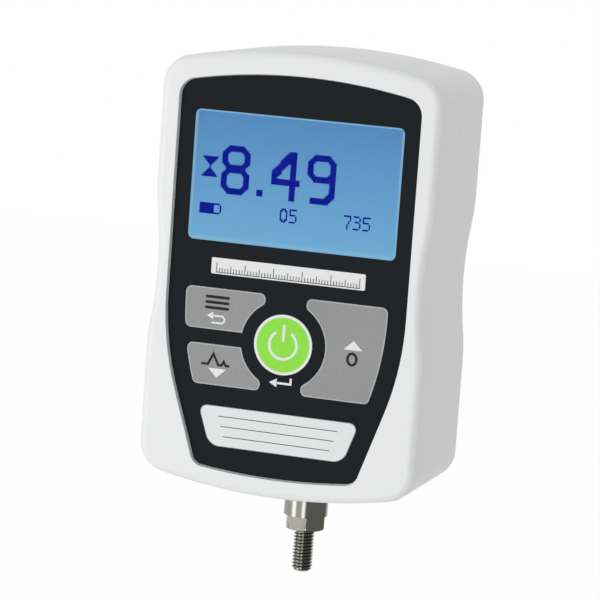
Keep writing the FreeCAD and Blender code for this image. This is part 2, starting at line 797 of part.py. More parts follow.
def rear_housing():
    """Cast rear half: carries the load cell, the battery and every mounting point."""
    body = new_body("rear_housing")
    shell = front_sketch(body, "-back_behind_axis", "housing_middle")
    housing_outline(shell, "0")
    pad(body, shell, "rear_depth")
    round_edges(body, "back_edge_radius", in_plane(value("back_behind_axis")))
    cavity = front_sketch(body, "parting", "housing_middle")
    housing_outline(cavity, "wall")
    pocket(body, cavity, "rear_depth - wall")
    rebate = front_sketch(body, "parting", "housing_middle")
    housing_outline(rebate, "lip_inset - lip_gap")
    pocket(body, rebate, "lip_height + lip_gap")

    for places, radius, length in (
            (INSERTS, "insert_boss_radius", "insert_length + insert_floor - wall"),
            (CAPTIVES, "captive_tube_radius", "rear_depth - wall - seat_gap"),
            (STOP_PINS, "stop_boss_radius", "-back_wall - half_beam_depth - stop_clearance"),
            ([("0", "dowel_insert_z")], "dowel_insert_radius + 2",
             "dowel_insert_thickness - wall + press_gap")):
        boss = front_sketch(body, "back_wall")
        discs(boss, places, radius)
        pad(body, boss, length)
    seats = front_sketch(body, "back_wall")
    for left, right in (("flexure_end", "beam_half_length"),
                        ("-beam_half_length", "-flexure_end")):
        box_outline(seats, left, right, "beam_bottom", "beam_top")
    pad(body, seats, "-back_wall - half_beam_depth")
    ribs = front_sketch(body, "back_wall")
    for left, right in (("rib_x", "rib_x + rib_thickness"),
                        ("-(rib_x + rib_thickness)", "-rib_x")):
        box_outline(ribs, left, right, "battery_bottom + 2", "battery_top - 2")
    box_outline(ribs, "-terminal_spacing", "terminal_spacing",
                "battery_top + rib_gap", "battery_top + rib_gap + rib_thickness")
    pad(body, ribs, "rib_height")

    for places, radius, depth in (
            (INSERTS, "insert_radius + press_gap", "insert_length"),
            (CAPTIVES, "captive_radius + 0.25", "rear_depth"),
            (CAPTIVES, "captive_head_radius + 0.4", "captive_head + captive_sunk"),
            ([("0", "dowel_insert_z")], "dowel_insert_radius + press_gap",
             "dowel_insert_thickness")):
        hole = front_sketch(body, "-back_behind_axis")
        discs(hole, places, radius)
        pocket(body, hole, depth, forwards=True)
    retainer_seats = front_sketch(body, "parting - seat_gap")
    discs(retainer_seats, CAPTIVES, "retainer_radius + 0.2")
    pocket(body, retainer_seats, "retainer_thickness + 0.4")
    beam_holes = front_sketch(body, "-half_beam_depth")
    discs(beam_holes, BEAM_SCREWS, "beam_screw_radius + thread_gap")
    pocket(body, beam_holes, "beam_screw_reach + seat_gap")
    pin_holes = front_sketch(body, "-half_beam_depth")
    discs(pin_holes, STOP_PINS, "stop_pin_radius + press_gap")
    pocket(body, pin_holes, "stop_pin_seat + seat_gap")
    shaft_hole = level_sketch(body, "housing_bottom + 2 * wall")
    discs(shaft_hole, [("0", "0")], "shaft_hole_radius")
    pocket(body, shaft_hole, "3 * wall")
    jack_hole = side_sketch(body, "-half_width")
    discs(jack_hole, [("0", "jack_height")], "jack_radius + thread_gap")
    pocket(body, jack_hole, "wall + 1", forwards=True)


def overlay_panel():
    """Printed panel, cut out for the display and round each key."""
    body = new_body("overlay_panel")
    sheet_outline = front_sketch(body, "panel_floor")
    panel_outline(sheet_outline, "0")
    pad(body, sheet_outline, "overlay_thickness")
    window = front_sketch(body, "panel_face")
    box_outline(window, "-display_width / 2", "display_width / 2",
                "display_height_centre - display_height / 2",
                "display_height_centre + display_height / 2")
    pocket(body, window, "overlay_thickness")
    round_edges(body, "display_corner", along_depth(
        both_sides("display_width / 2", "display_height_centre - display_height / 2")
        + both_sides("display_width / 2", "display_height_centre + display_height / 2")))
    for shape, place in KEYS.values():
        gap = front_sketch(body, "panel_face")
        shape(gap, "-key_gap")
        pocket(body, gap, "overlay_thickness")
    round_edges(body, "key_corner + key_gap", along_depth(key_corners("-key_gap")))
    round_edges(body, "key_nose + key_gap", along_depth(key_noses("-key_gap")))


def keys():
    """Four keys, each an embossed cap with a plunger that reaches its switch on the board."""
    for label, (shape, place) in KEYS.items():
        body = new_body(label)
        cap = front_sketch(body, "key_back")
        shape(cap, "0")
        pad(body, cap, "key_thickness")
        if label != "power_key":
            round_edges(body, "key_corner", along_depth(key_corners("0")))
            round_edges(body, "key_nose", along_depth(key_noses("0")))
        plunger = front_sketch(body, "key_back")
        discs(plunger, [place], "plunger_radius")
        pad(body, plunger, "key_back - plunger_end", backwards=True)


def display():
    """Clear pane, display glass in its frame, backlight, and strips down to the board."""
    middle = "display_height_centre"
    pane = new_body("display_pane")
    sketch = front_sketch(pane, "panel_floor")
    box_outline(sketch, "-(display_width / 2 + pane_margin - pane_gap)",
                "display_width / 2 + pane_margin - pane_gap",
                middle + " - display_height / 2 - pane_margin + pane_gap",
                middle + " + display_height / 2 + pane_margin - pane_gap")
    pad(pane, sketch, "pane_thickness", backwards=True)

    glass = new_body("display_glass")
    sketch = front_sketch(glass, "glass_front")
    box_outline(sketch, "-glass_width / 2", "glass_width / 2",
                middle + " - glass_height / 2", middle + " + glass_height / 2")
    pad(glass, sketch, "glass_thickness", backwards=True)

    frame = new_body("display_frame")
    sketch = front_sketch(frame, "glass_front")
    box_outline(sketch, "-frame_width / 2", "frame_width / 2",
                middle + " - frame_height / 2", middle + " + frame_height / 2")
    pad(frame, sketch, "glass_front - board_front", backwards=True)
    sketch = front_sketch(frame, "glass_front")
    box_outline(sketch, "-(glass_width / 2 + pane_gap)", "glass_width / 2 + pane_gap",
                middle + " - glass_height / 2 - pane_gap",
                middle + " + glass_height / 2 + pane_gap")
    pocket(frame, sketch, "glass_front - board_front + 1")

    backlight = new_body("backlight")
    sketch = front_sketch(backlight, "glass_back")
    box_outline(sketch, "-(glass_width / 2 - 0.5)", "glass_width / 2 - 0.5",
                middle + " - glass_height / 2 + 2 * contact_strip_width",
                middle + " + glass_height / 2 - 2 * contact_strip_width")
    pad(backlight, sketch, "backlight_thickness", backwards=True)

    strips = new_body("contact_strips")
    sketch = front_sketch(strips, "glass_back")
    for low in (middle + " - glass_height / 2 + 0.5 * contact_strip_width",
                middle + " + glass_height / 2 - 1.5 * contact_strip_width"):
        box_outline(sketch, "-(glass_width / 2 - 2)", "glass_width / 2 - 2",
                    low, low + " + contact_strip_width")
    pad(strips, sketch, "glass_back - board_front", backwards=True)


def main_board():
    """Circuit board, notched round the captive screws' bosses, with all that is soldered on."""
    board = new_body("main_board")
    sketch = front_sketch(board, "board_front")
    half = "board_width / 2"
    notch_low = "housing_middle - notch_half_height"
    notch_high = "housing_middle + notch_half_height"
    right = [
        (half + " - board_chamfer", "board_bottom"),
        (half, "board_bottom + board_chamfer"),
        (half, notch_low),
        ("notch_edge", notch_low),
        ("notch_edge", notch_high),
        (half, notch_high),
        (half, "board_top - board_chamfer"),
        (half + " - board_chamfer", "board_top"),
    ]
    outline(sketch, right + [(minus(x), z) for x, z in reversed(right)])
    pad(board, sketch, "board_thickness", backwards=True)
    holes = front_sketch(board, "board_front")
    discs(holes, STANDOFFS, "board_screw_radius + 0.15")
    pocket(board, holes, "board_thickness")

    screws = new_body("board_screws")
    heads = front_sketch(screws, "board_back")
    discs(heads, STANDOFFS, "board_screw_head_radius")
    pad(screws, heads, "board_screw_head", backwards=True)
    shanks = front_sketch(screws, "board_back")
    discs(shanks, STANDOFFS, "board_screw_radius")
    pad(screws, shanks, "board_screw_length")

    domes = new_body("snap_domes")
    feet = front_sketch(domes, "board_front")
    discs(feet, PLUNGERS, "dome_radius")
    pad(domes, feet, "dome_foot")
    crowns = front_sketch(domes, "board_front")
    discs(crowns, PLUNGERS, "dome_crown_radius")
    pad(domes, crowns, "dome_height")

    chips = new_body("board_chips")
    places = front_sketch(chips, "board_back")
    low_chips = "display_height_centre - chips_below_display"
    for x_rule, z_rule, size in (
            ("-chip_x", low_chips, "large_chip"),
            ("chip_x", low_chips, "small_chip"),
            ("chip_x", "display_height_centre + chip_above_display", "small_chip")):
        square(places, x_rule, z_rule, size, size)
    pad(chips, places, "chip_height", backwards=True)

    headers = new_body("board_headers")
    places = front_sketch(headers, "board_back")
    for x_rule, z_rule in (("battery_header_x", "header_z"), ("-cell_header_x", "header_z"),
                           ("-charging_header_x", "charging_header_z")):
        square(places, x_rule, z_rule, "header_width", "header_length")
    pad(headers, places, "header_height", backwards=True)


def side_sockets():
    """Data socket on the board's edge and charging socket through the rear half's wall."""
    usb = new_body("data_socket")
    mouth = "-board_width / 2 - usb_overhang"
    shell = side_sketch(usb, mouth)
    box_outline(shell, "-board_back", "-board_back + usb_body",
                "usb_height - usb_width / 2", "usb_height + usb_width / 2")
    pad(usb, shell, "usb_length")
    hollow = side_sketch(usb, mouth)
    box_outline(hollow, "-board_back + usb_shell", "-board_back + usb_body - usb_shell",
                "usb_height - usb_width / 2 + usb_shell",
                "usb_height + usb_width / 2 - usb_shell")
    pocket(usb, hollow, "usb_length - 2", forwards=True)
    tongue = side_sketch(usb, mouth + " + 1")
    box_outline(tongue, "-board_back + usb_body / 2 - usb_tongue / 2",
                "-board_back + usb_body / 2 + usb_tongue / 2",
                "usb_height - usb_width / 4", "usb_height + usb_width / 4")
    pad(usb, tongue, "usb_length - 2")

    jack = new_body("charging_socket")
    face = "-half_width + jack_sunk"
    barrel = side_sketch(jack, face)
    discs(barrel, [("0", "jack_height")], "jack_radius")
    pad(jack, barrel, "jack_length")
    shoulder = side_sketch(jack, "-half_width + wall + seat_gap")
    discs(shoulder, [("0", "jack_height")], "jack_shoulder_radius")
    pad(jack, shoulder, "jack_length - wall - jack_sunk - seat_gap - 1")
    bore = side_sketch(jack, face)
    discs(bore, [("0", "jack_height")], "jack_bore_radius")
    pocket(jack, bore, "jack_bore_depth", forwards=True)
    pin = side_sketch(jack, face + " + 1")
    discs(pin, [("0", "jack_height")], "jack_pin_radius")
    pad(jack, pin, "jack_bore_depth")


def closing_screws():
    """Two captive screws that hold the halves together, and the rings that keep them in."""
    screws = new_body("captive_screws")
    heads = front_sketch(screws, "captive_sunk - back_behind_axis")
    discs(heads, CAPTIVES, "captive_head_radius")
    pad(screws, heads, "captive_head")
    shanks = front_sketch(screws, "captive_sunk - back_behind_axis")
    discs(shanks, CAPTIVES, "captive_radius")
    pad(screws, shanks, "rear_depth - captive_sunk + captive_reach")
    for x_rule, z_rule in CAPTIVES:
        recess = front_sketch(screws, "captive_sunk - back_behind_axis")
        hexagon(recess, x_rule, z_rule, "captive_radius", "0")
        pocket(screws, recess, "captive_head - 0.7", forwards=True)

    rings = new_body("screw_retainers")
    ring = front_sketch(rings, "parting - seat_gap - 0.3")
    discs(ring, CAPTIVES, "retainer_radius")
    discs(ring, CAPTIVES, "captive_radius + press_gap")
    pad(rings, ring, "retainer_thickness", backwards=True)


def mounting_inserts():
    """Threaded inserts near the rear corners, and the steel insert for the dowel."""
    inserts = new_body("threaded_inserts")
    rings = front_sketch(inserts, "-back_behind_axis")
    discs(rings, INSERTS, "insert_radius")
    discs(rings, INSERTS, "insert_bore_radius")
    pad(inserts, rings, "insert_length")

    steel = new_body("dowel_insert")
    plug = front_sketch(steel, "-back_behind_axis")
    discs(plug, [("0", "dowel_insert_z")], "dowel_insert_radius")
    pad(steel, plug, "dowel_insert_thickness")
    bore = front_sketch(steel, "-back_behind_axis")
    discs(bore, [("0", "dowel_insert_z")], "dowel_bore_radius")
    pocket(steel, bore, "dowel_bore_depth", forwards=True)


def load_cell():
    """Double binocular beam: both ends screwed down, its middle carried down by the shaft."""
    body = new_body("load_cell")
    block = front_sketch(body, "-half_beam_depth")
    box_outline(block, "-beam_half_length", "beam_half_length", "beam_bottom", "beam_top")
    pad(body, block, "beam_depth")
    reliefs = front_sketch(body, "half_beam_depth")
    for left, right in (("flexure_start", "flexure_end"), ("-flexure_end", "-flexure_start")):
        box_outline(reliefs, left, right, "beam_middle + half_flexure", "beam_top + 1")
        box_outline(reliefs, left, right, "beam_bottom - 1", "beam_middle - half_flexure")
    pocket(body, reliefs, "beam_depth")
    near = both_sides("window_near", "beam_middle")
    far = both_sides("window_far", "beam_middle")
    for places, radius in ((near, "window_radius"), (far, "window_radius"),
                           (BEAM_SCREWS, "beam_screw_radius + beam_screw_clearance"),
                           (STOP_PINS, "stop_pin_radius + stop_clearance")):
        holes = front_sketch(body, "half_beam_depth")
        discs(holes, places, radius)
        pocket(body, holes, "beam_depth")
    slots = front_sketch(body, "half_beam_depth")
    for left, right in (("window_near", "window_far"), ("-window_far", "-window_near")):
        box_outline(slots, left, right, "beam_middle - window_slot / 2",
                    "beam_middle + window_slot / 2")
    pocket(body, slots, "beam_depth")
    bore = level_sketch(body, "beam_top")
    discs(bore, [("0", "0")], "fixing_radius + thread_gap")
    pocket(body, bore, "beam_height")

    gauges = new_body("strain_gauges")
    for level, downwards in (("beam_middle + half_flexure", False),
                             ("beam_middle - half_flexure", True)):
        foils = level_sketch(gauges, level)
        for centre in ("window_near", "window_far", "-window_near", "-window_far"):
            box_outline(foils, centre + " - gauge_width / 2", centre + " + gauge_width / 2",
                        "-gauge_length / 2", "gauge_length / 2")
        pad(gauges, foils, "gauge_thickness", backwards=downwards)

    screws = new_body("load_cell_screws")
    heads = front_sketch(screws, "half_beam_depth")
    discs(heads, BEAM_SCREWS, "beam_screw_head_radius")
    pad(screws, heads, "beam_screw_head")
    shanks = front_sketch(screws, "half_beam_depth")
    discs(shanks, BEAM_SCREWS, "beam_screw_radius")
    pad(screws, shanks, "beam_depth + beam_screw_reach", backwards=True)

    pins = new_body("overload_pins")
    sketch = front_sketch(pins, "-half_beam_depth - stop_pin_seat")
    discs(sketch, STOP_PINS, "stop_pin_radius")
    pad(pins, sketch, "half_beam_depth + stop_pin_seat + stop_pin_front")


def loading_shaft():
    """Turned shaft: threaded stud, hexagon for a spanner, collar, neck, and fixing thread."""
    body = new_body("loading_shaft")
    profile = front_sketch(body, "0")
    outline(profile, [
        ("0", "-thread_length"),
        ("thread_radius - thread_chamfer", "-thread_length"),
        ("thread_radius", "-thread_length + thread_chamfer"),
        ("thread_radius", "0.01"),
        ("hex_core_radius", "0.01"),
        ("hex_core_radius", "hex_height"),
        ("collar_radius", "hex_height"),
        ("collar_radius", "collar_top"),
        ("neck_radius", "collar_top"),
        ("neck_radius", "beam_bottom - flange_thickness"),
        ("flange_radius", "beam_bottom - flange_thickness"),
        ("flange_radius", "beam_bottom"),
        ("fixing_radius", "beam_bottom"),
        ("fixing_radius", "beam_bottom + fixing_length"),
        ("0", "beam_bottom + fixing_length"),
    ])
    turned(body, profile)
    flats = level_sketch(body, "0")
    hexagon(flats, "0", "0", "hex_corner", "hex_turn - 90")
    pad(body, flats, "hex_height")
    bevel = front_sketch(body, "0")
    outline(bevel, [
        ("hex_across_flats / 2", "0"),
        ("hex_corner + 0.5", "-0.5"),
        ("hex_corner + 0.5", "(hex_corner + 0.5 - hex_across_flats / 2) * tan(30)"),
    ])
    turned(body, bevel, cut=True)

    washer = new_body("shaft_washer")
    ring = level_sketch(washer, "beam_top")
    discs(ring, [("0", "0")], "washer_radius")
    discs(ring, [("0", "0")], "fixing_radius + 2 * thread_gap")
    pad(washer, ring, "washer_thickness")

    nut = new_body("shaft_nut")
    ring = level_sketch(nut, "washer_top")
    hexagon(ring, "0", "0", "nut_corner", "0")
    discs(ring, [("0", "0")], "fixing_radius + thread_gap")
    pad(nut, ring, "nut_height")


def battery():
    """Nine volt battery on its foam pads, with its snap connector."""
    block = new_body("battery")
    case = front_sketch(block, "battery_back")
    box_outline(case, "-half_battery", "half_battery", "battery_bottom", "battery_top")
    pad(block, case, "battery_depth")

    def upright(edge):
        box = edge.BoundBox
        return box.ZLength > 1 and box.XLength < 1e-3 and box.YLength < 1e-3
    round_edges(block, "battery_corner", upright)
    for x_rule, radius in (("-terminal_spacing / 2", "socket_terminal_radius"),
                           ("terminal_spacing / 2", "stud_terminal_radius")):
        terminal = level_sketch(block, "battery_bottom")
        discs(terminal, [(x_rule, "-(battery_back + battery_front) / 2")], radius)
        pad(block, terminal, "terminal_height", backwards=True)

    snap = new_body("battery_snap")
    plate = level_sketch(snap, "battery_bottom - terminal_height - seat_gap")
    middle = "-(battery_back + battery_front) / 2"
    box_outline(plate, "-snap_width / 2", "snap_width / 2",
                middle + " - snap_depth / 2", middle + " + snap_depth / 2")
    pad(snap, plate, "snap_thickness", backwards=True)

    pads = new_body("battery_pads")
    rear = front_sketch(pads, "back_wall")
    box_outline(rear, "-(half_battery - 2)", "half_battery - 2",
                "battery_bottom + 4", "battery_top - 4")
    pad(pads, rear, "battery_pad")
    front = front_sketch(pads, "battery_front")
    box_outline(front, "-(half_battery - 4)", "half_battery - 4",
                "battery_top - 10", "battery_top - 2")
    pad(pads, front, "board_back - battery_front")


def bent_wire(points, bend):
    """Round wire along straight runs joined by arcs, from points given as rules."""
    stops = [FreeCAD.Vector(*[value(rule) for rule in point]) for point in points]
    edges = []
    start = stops[0]
    for before, corner, after in zip(stops, stops[1:], stops[2:]):
        incoming = (corner - before).normalize()
        outgoing = (after - corner).normalize()
        reach = bend * math.tan(incoming.getAngle(outgoing) / 2)
        arc_start = corner - incoming * reach
        arc_end = corner + outgoing * reach
        half_way = (incoming - outgoing).normalize()
        centre = corner - half_way * (bend / math.cos(incoming.getAngle(outgoing) / 2))
        middle = centre + half_way * bend
        edges.append(Part.LineSegment(start, arc_start).toShape())
        edges.append(Part.Arc(arc_start, middle, arc_end).toShape())
        start = arc_end
    edges.append(Part.LineSegment(start, stops[-1]).toShape())
    path = Part.Wire(edges)
    ring = Part.Wire(Part.makeCircle(value("lead_radius"), stops[0], stops[1] - stops[0]))
    return path.makePipeShell([ring], True, False)


def leads():
    """Pairs of insulated wires from the battery, the load cell and the charging socket."""
    header = "-(board_back - header_height)"
    rise = header + " + lead_straight"
    snap_level = "battery_bottom - terminal_height - seat_gap - snap_thickness / 2"
    routes = {"battery_leads": [], "load_cell_leads": [], "charging_leads": []}
    for side in ("-", "+"):
        x_rule = "battery_header_x %s lead_pitch / 2" % side
        y_rule = "0" if side == "-" else "lead_pitch"
        routes["battery_leads"].append([
            ("snap_width / 2", y_rule, snap_level), (x_rule, y_rule, snap_level),
            (x_rule, rise, "header_z"), (x_rule, header, "header_z")])
        x_rule = "-cell_header_x %s lead_pitch / 2" % side
        routes["load_cell_leads"].append([
            (x_rule, "0", "beam_top"), (x_rule, "0", "header_z"), (x_rule, header, "header_z")])
        x_rule = "-charging_header_x %s lead_pitch / 2" % side
        z_rule = "jack_height %s lead_pitch / 2" % side
        routes["charging_leads"].append([
            ("jack_length + jack_sunk - half_width", "0", z_rule), (x_rule, "0", z_rule),
            (x_rule, rise, "charging_header_z"), (x_rule, header, "charging_header_z")])
    for label, runs in routes.items():
        wires = doc.addObject("Part::Feature", label)
        wires.Label = label
        wires.Shape = Part.makeCompound([bent_wire(run, value("lead_bend")) for run in runs])
        wires.Placement = FreeCAD.Placement()
        nodes.append(wires)


def check_and_save():
    """Write each sub-part only when every object is sound."""
    doc.recompute()
    for item in doc.Objects:
        if "Invalid" in item.State or "Error" in item.State:
            raise ValueError("%s is %s" % (item.Name, item.State))
    for node in nodes:
        if node.Shape.isNull() or not node.Shape.isValid():
            raise ValueError("%s has no valid shape" % node.Label)
    os.makedirs("parts", exist_ok=True)
    for node in nodes:
        node.Shape.exportStep("parts/%s.step" % node.Label)
        print("%-18s %2d solids %10.1f mm3" % (
            node.Label, len(node.Shape.Solids), node.Shape.Volume))


front_housing()
rear_housing()
overlay_panel()
keys()
display()
main_board()
side_sockets()
closing_screws()
mounting_inserts()
load_cell()
loading_shaft()
battery()
leads()
check_and_save()
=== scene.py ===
"""Looks of a hand-held digital force gauge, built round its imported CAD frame.

Sizes of the gauge are in millimetres, which MM makes metres. The floor, the lamps and the card
are placed in metres.
"""
import math

import bpy
from mathutils import Matrix, Vector


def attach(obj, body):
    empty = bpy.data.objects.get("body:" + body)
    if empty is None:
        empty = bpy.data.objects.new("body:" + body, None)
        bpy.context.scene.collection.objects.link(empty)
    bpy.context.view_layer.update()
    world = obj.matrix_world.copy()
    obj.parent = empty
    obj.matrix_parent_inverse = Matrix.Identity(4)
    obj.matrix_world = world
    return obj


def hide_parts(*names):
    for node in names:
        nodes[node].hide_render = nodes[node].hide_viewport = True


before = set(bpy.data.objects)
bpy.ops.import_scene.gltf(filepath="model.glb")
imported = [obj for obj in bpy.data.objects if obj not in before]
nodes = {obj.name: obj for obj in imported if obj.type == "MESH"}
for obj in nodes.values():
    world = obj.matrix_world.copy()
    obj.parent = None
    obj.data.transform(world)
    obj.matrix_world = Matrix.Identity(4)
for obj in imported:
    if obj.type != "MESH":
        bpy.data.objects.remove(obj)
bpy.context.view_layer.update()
MM = 0.001


# Housing. Two painted aluminium castings with the same outline, closed by screws from behind.
# The paint is a thick satin coat with a very fine orange peel. Where the castings meet, their
# outer edges are broken, so that a fine groove runs round the housing.
PARTING = -11.3
HOUSING_MIDDLE = 62.5
OUTER_SIDE, OUTER_TOP, OUTER_FOOT = 30.5, 106.0, 19.0
SEAM_CHAMFER = 0.12
CASTING_SMOOTHING = 25.0
WALL_TILT = 0.2
NEAR = 0.01
BROAD_GRAINS = 45.0
BROAD_SHARE = 0.6
ROUGHNESS_SHIFT = 0.08


def set_inputs(node, values):
    """Set some of a node's or shader's own sockets."""
    for socket, value in values.items():
        node.inputs[socket].default_value = value


def new_material(name, values=None):
    """Start a material with one Principled shader; give back it, its node tree and shader."""
    material = bpy.data.materials.new(name)
    material.use_nodes = True
    tree = material.node_tree
    shader = tree.nodes["Principled BSDF"]
    set_inputs(shader, values or {})
    return material, tree, shader


def wear(obj, material):
    obj.data.materials.clear()
    obj.data.materials.append(material)


def math_node(tree, operation, *terms):
    """Math node on numbers or other nodes' outputs, and give back its output."""
    node = tree.nodes.new("ShaderNodeMath")
    node.operation = operation
    for socket, term in zip(node.inputs, terms):
        if isinstance(term, float):
            socket.default_value = term
        else:
            tree.links.new(term, socket)
    return node.outputs[0]


def grain_group():
    """Node group: fine surface grain, as a shift of colour and roughness, and a bump."""
    group = bpy.data.node_groups.new("fine_grain", "ShaderNodeTree")
    for name, way, kind in (
            ("Colour", "INPUT", "Color"), ("Grains per metre", "INPUT", "Float"),
            ("Colour shift", "INPUT", "Float"), ("Depth", "INPUT", "Float"),
            ("Roughness", "INPUT", "Float"), ("Colour", "OUTPUT", "Color"),
            ("Roughness", "OUTPUT", "Float"), ("Normal", "OUTPUT", "Vector")):
        group.interface.new_socket(name, in_out=way, socket_type="NodeSocket" + kind)
    make, join = group.nodes.new, group.links.new
    inputs, outputs = make("NodeGroupInput"), make("NodeGroupOutput")
    place = make("ShaderNodeTexCoord")
    fine, broad = make("ShaderNodeTexNoise"), make("ShaderNodeTexNoise")
    fine.inputs["Detail"].default_value = 3.0
    broad.inputs["Scale"].default_value = BROAD_GRAINS
    join(place.outputs["Object"], fine.inputs["Vector"])
    join(place.outputs["Object"], broad.inputs["Vector"])
    join(inputs.outputs["Grains per metre"], fine.inputs["Scale"])
    both = math_node(group, "MULTIPLY_ADD", broad.outputs["Fac"], BROAD_SHARE,
                     fine.outputs["Fac"])
    spread = make("ShaderNodeMapRange")
    set_inputs(spread, {"From Min": 0.5, "From Max": 1.1})
    join(both, spread.inputs["Value"])
    centred = math_node(group, "SUBTRACT", spread.outputs["Result"], 0.5)
    level = math_node(group, "MULTIPLY_ADD", centred, inputs.outputs["Colour shift"], 1.0)
    shade = make("ShaderNodeVectorMath")
    shade.operation = "SCALE"
    join(inputs.outputs["Colour"], shade.inputs[0])
    join(level, shade.inputs["Scale"])
    join(shade.outputs[0], outputs.inputs["Colour"])
    rough = math_node(group, "MULTIPLY_ADD", centred, ROUGHNESS_SHIFT,
                      inputs.outputs["Roughness"])
    join(rough, outputs.inputs["Roughness"])
    bump = make("ShaderNodeBump")
    bump.inputs["Strength"].default_value = 1.0
    join(inputs.outputs["Depth"], bump.inputs["Distance"])
    join(fine.outputs["Fac"], bump.inputs["Height"])
    join(bump.outputs["Normal"], outputs.inputs["Normal"])
    return group


fine_grain = grain_group()


def grained(name, colour, roughness, grains=2500.0, shift=0.05, depth=0.00002, coat=0.0,
            coat_roughness=0.1, level=0.5):
    """Material with the fine grain in its colour, roughness and bump."""
    material, tree, shader = new_material(name, {
        "Coat Weight": coat, "Coat Roughness": coat_roughness, "Specular IOR Level": level})
    grain = tree.nodes.new("ShaderNodeGroup")
    grain.node_tree = fine_grain
    set_inputs(grain, {"Colour": (*colour, 1.0), "Grains per metre": grains,
                       "Colour shift": shift, "Depth": depth, "Roughness": roughness})
    tree.links.new(grain.outputs["Colour"], shader.inputs["Base Color"])
    tree.links.new(grain.outputs["Roughness"], shader.inputs["Roughness"])
    tree.links.new(grain.outputs["Normal"], shader.inputs["Normal"])
    return material


def smooth_copy(node, name, angle=30.0):
    """Copy of a CAD node with its triangles merged and its curves shaded smooth."""
    bpy.ops.object.select_all(action="DESELECT")
    copy = bpy.data.objects.new(name, nodes[node].data.copy())
    bpy.context.scene.collection.objects.link(copy)
    bpy.context.view_layer.objects.active = copy
    copy.select_set(True)
    bpy.ops.object.mode_set(mode="EDIT")
    bpy.ops.mesh.select_all(action="SELECT")
    bpy.ops.mesh.remove_doubles(threshold=1e-6)
    bpy.ops.mesh.customdata_custom_splitnormals_clear()
    bpy.ops.mesh.select_all(action="SELECT")
    bpy.ops.mesh.tris_convert_to_quads(face_threshold=math.radians(2),
                                       shape_threshold=math.radians(60))
    bpy.ops.object.mode_set(mode="OBJECT")
    bpy.ops.object.shade_smooth_by_angle(angle=math.radians(angle))
    return copy


def pick(obj, kind, rule):
    """Select the faces or edges of the active object that a rule allows, in edit mode."""
    bpy.ops.object.mode_set(mode="EDIT")
    bpy.ops.mesh.select_mode(type=kind)
    bpy.ops.mesh.select_all(action="DESELECT")
    bpy.ops.object.mode_set(mode="OBJECT")
    for part in obj.data.polygons if kind == "FACE" else obj.data.edges:
        part.select = rule(part)
    bpy.ops.object.mode_set(mode="EDIT")


def leave_edit():
    bpy.ops.mesh.select_mode(type="VERT")
    bpy.ops.object.mode_set(mode="OBJECT")


def ease_seam(casting, behind):
    """Break a casting's outer edge at the parting plane, so that a fine groove shows there."""
    rim = set()
    for face in casting.data.polygons:
        x, y, z = face.center / MM
        outside = abs(x) > OUTER_SIDE or z > OUTER_TOP or z < OUTER_FOOT
        outward = face.normal.x * x + face.normal.z * (z - HOUSING_MIDDLE) > 0
        if outside and outward and abs(face.normal.y) < WALL_TILT and (y > PARTING) == behind:
            rim.update(face.edge_keys)

    def on_rim(edge):
        ends = [casting.data.vertices[end].co.y / MM for end in edge.vertices]
        return edge.key in rim and all(abs(y - PARTING) < NEAR for y in ends)

    pick(casting, "EDGE", on_rim)
    bpy.ops.mesh.bevel(offset=SEAM_CHAMFER * MM, segments=1, affect="EDGES")
    leave_edit()
    bpy.ops.object.shade_smooth_by_angle(angle=math.radians(CASTING_SMOOTHING))


paint = grained("cast_paint", (0.835, 0.84, 0.845), 0.42, grains=3200.0, shift=0.012,
                depth=0.000012)
for node in ("front_housing", "rear_housing"):
    casting = smooth_copy(node, node.replace("housing", "casting"), angle=CASTING_SMOOTHING)
    ease_seam(casting, node == "rear_housing")
    wear(casting, paint)
    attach(casting, "housing")
    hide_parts(node)


# Face panel. Black polyester film printed on its back and let into the front casting, so its
# surface is even and faintly textured, with a soft sheen and no brush marks.
PANEL_FACE = -26.6 * MM
film = grained("panel_print", (0.008, 0.0105, 0.013), 0.36, grains=5200.0, shift=0.5,
               depth=0.00003, level=0.09)
wear(nodes["overlay_panel"], film)


# Grey keys. Embossed areas of the same membrane, printed grey, with a satin, slightly mottled
# surface. A paler grey rim round each key is a painted highlight on its embossed edge. Each
# carries black and white marks that say what it does.
KEY_FACE = -26.75 * MM
PRINT = 0.02 * MM
RIM_WIDTH = 0.28 * MM
RIM_RISE = 0.015 * MM


def draw_back(depth):
    """Give the flat shape that is selected in edit mode a thickness, and leave edit mode."""
    bpy.ops.mesh.extrude_region_move(TRANSFORM_OT_translate={"value": (0.0, depth, 0.0)})
    bpy.ops.mesh.select_all(action="SELECT")
    bpy.ops.mesh.normals_make_consistent(inside=False)
    leave_edit()


grey = grained("key_grey", (0.282, 0.286, 0.284), 0.45, grains=3600.0, shift=0.22,
               depth=0.00003)
# Painted highlight: a lighter grey ring laid on each key's face along its edge.
rim_highlight_grey = grained("key_edge_highlight", (0.44, 0.44, 0.44), 0.4, grains=3600.0, shift=0.1,
                     depth=0.00001)
for node in ("menu_key", "peak_key", "zero_key"):
    wear(nodes[node], grey)
    edge = smooth_copy(node, node.replace("key", "edge"))
    pick(edge, "FACE", lambda face: not (face.normal.y < -0.99
                                         and face.center.y < KEY_FACE + NEAR * MM))
    bpy.ops.mesh.delete(type="FACE")
    bpy.ops.mesh.select_all(action="SELECT")
    bpy.ops.mesh.dissolve_limited(angle_limit=math.radians(1))
    bpy.ops.mesh.inset(thickness=RIM_WIDTH, depth=0.0)
    bpy.ops.mesh.delete(type="FACE")
    bpy.ops.mesh.select_all(action="SELECT")
    bpy.ops.transform.translate(value=(0.0, -RIM_RISE, 0.0))
    draw_back(2 * RIM_RISE)
    wear(edge, rim_highlight_grey)
    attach(edge, node)
white_ink = grained("white_ink", (0.80, 0.80, 0.80), 0.45, grains=6000.0, shift=0.03,
                    depth=0.000004)
black_ink = grained("black_ink", (0.006, 0.006, 0.007), 0.45, grains=6000.0, shift=0.1,
                    depth=0.000004, level=0.25)


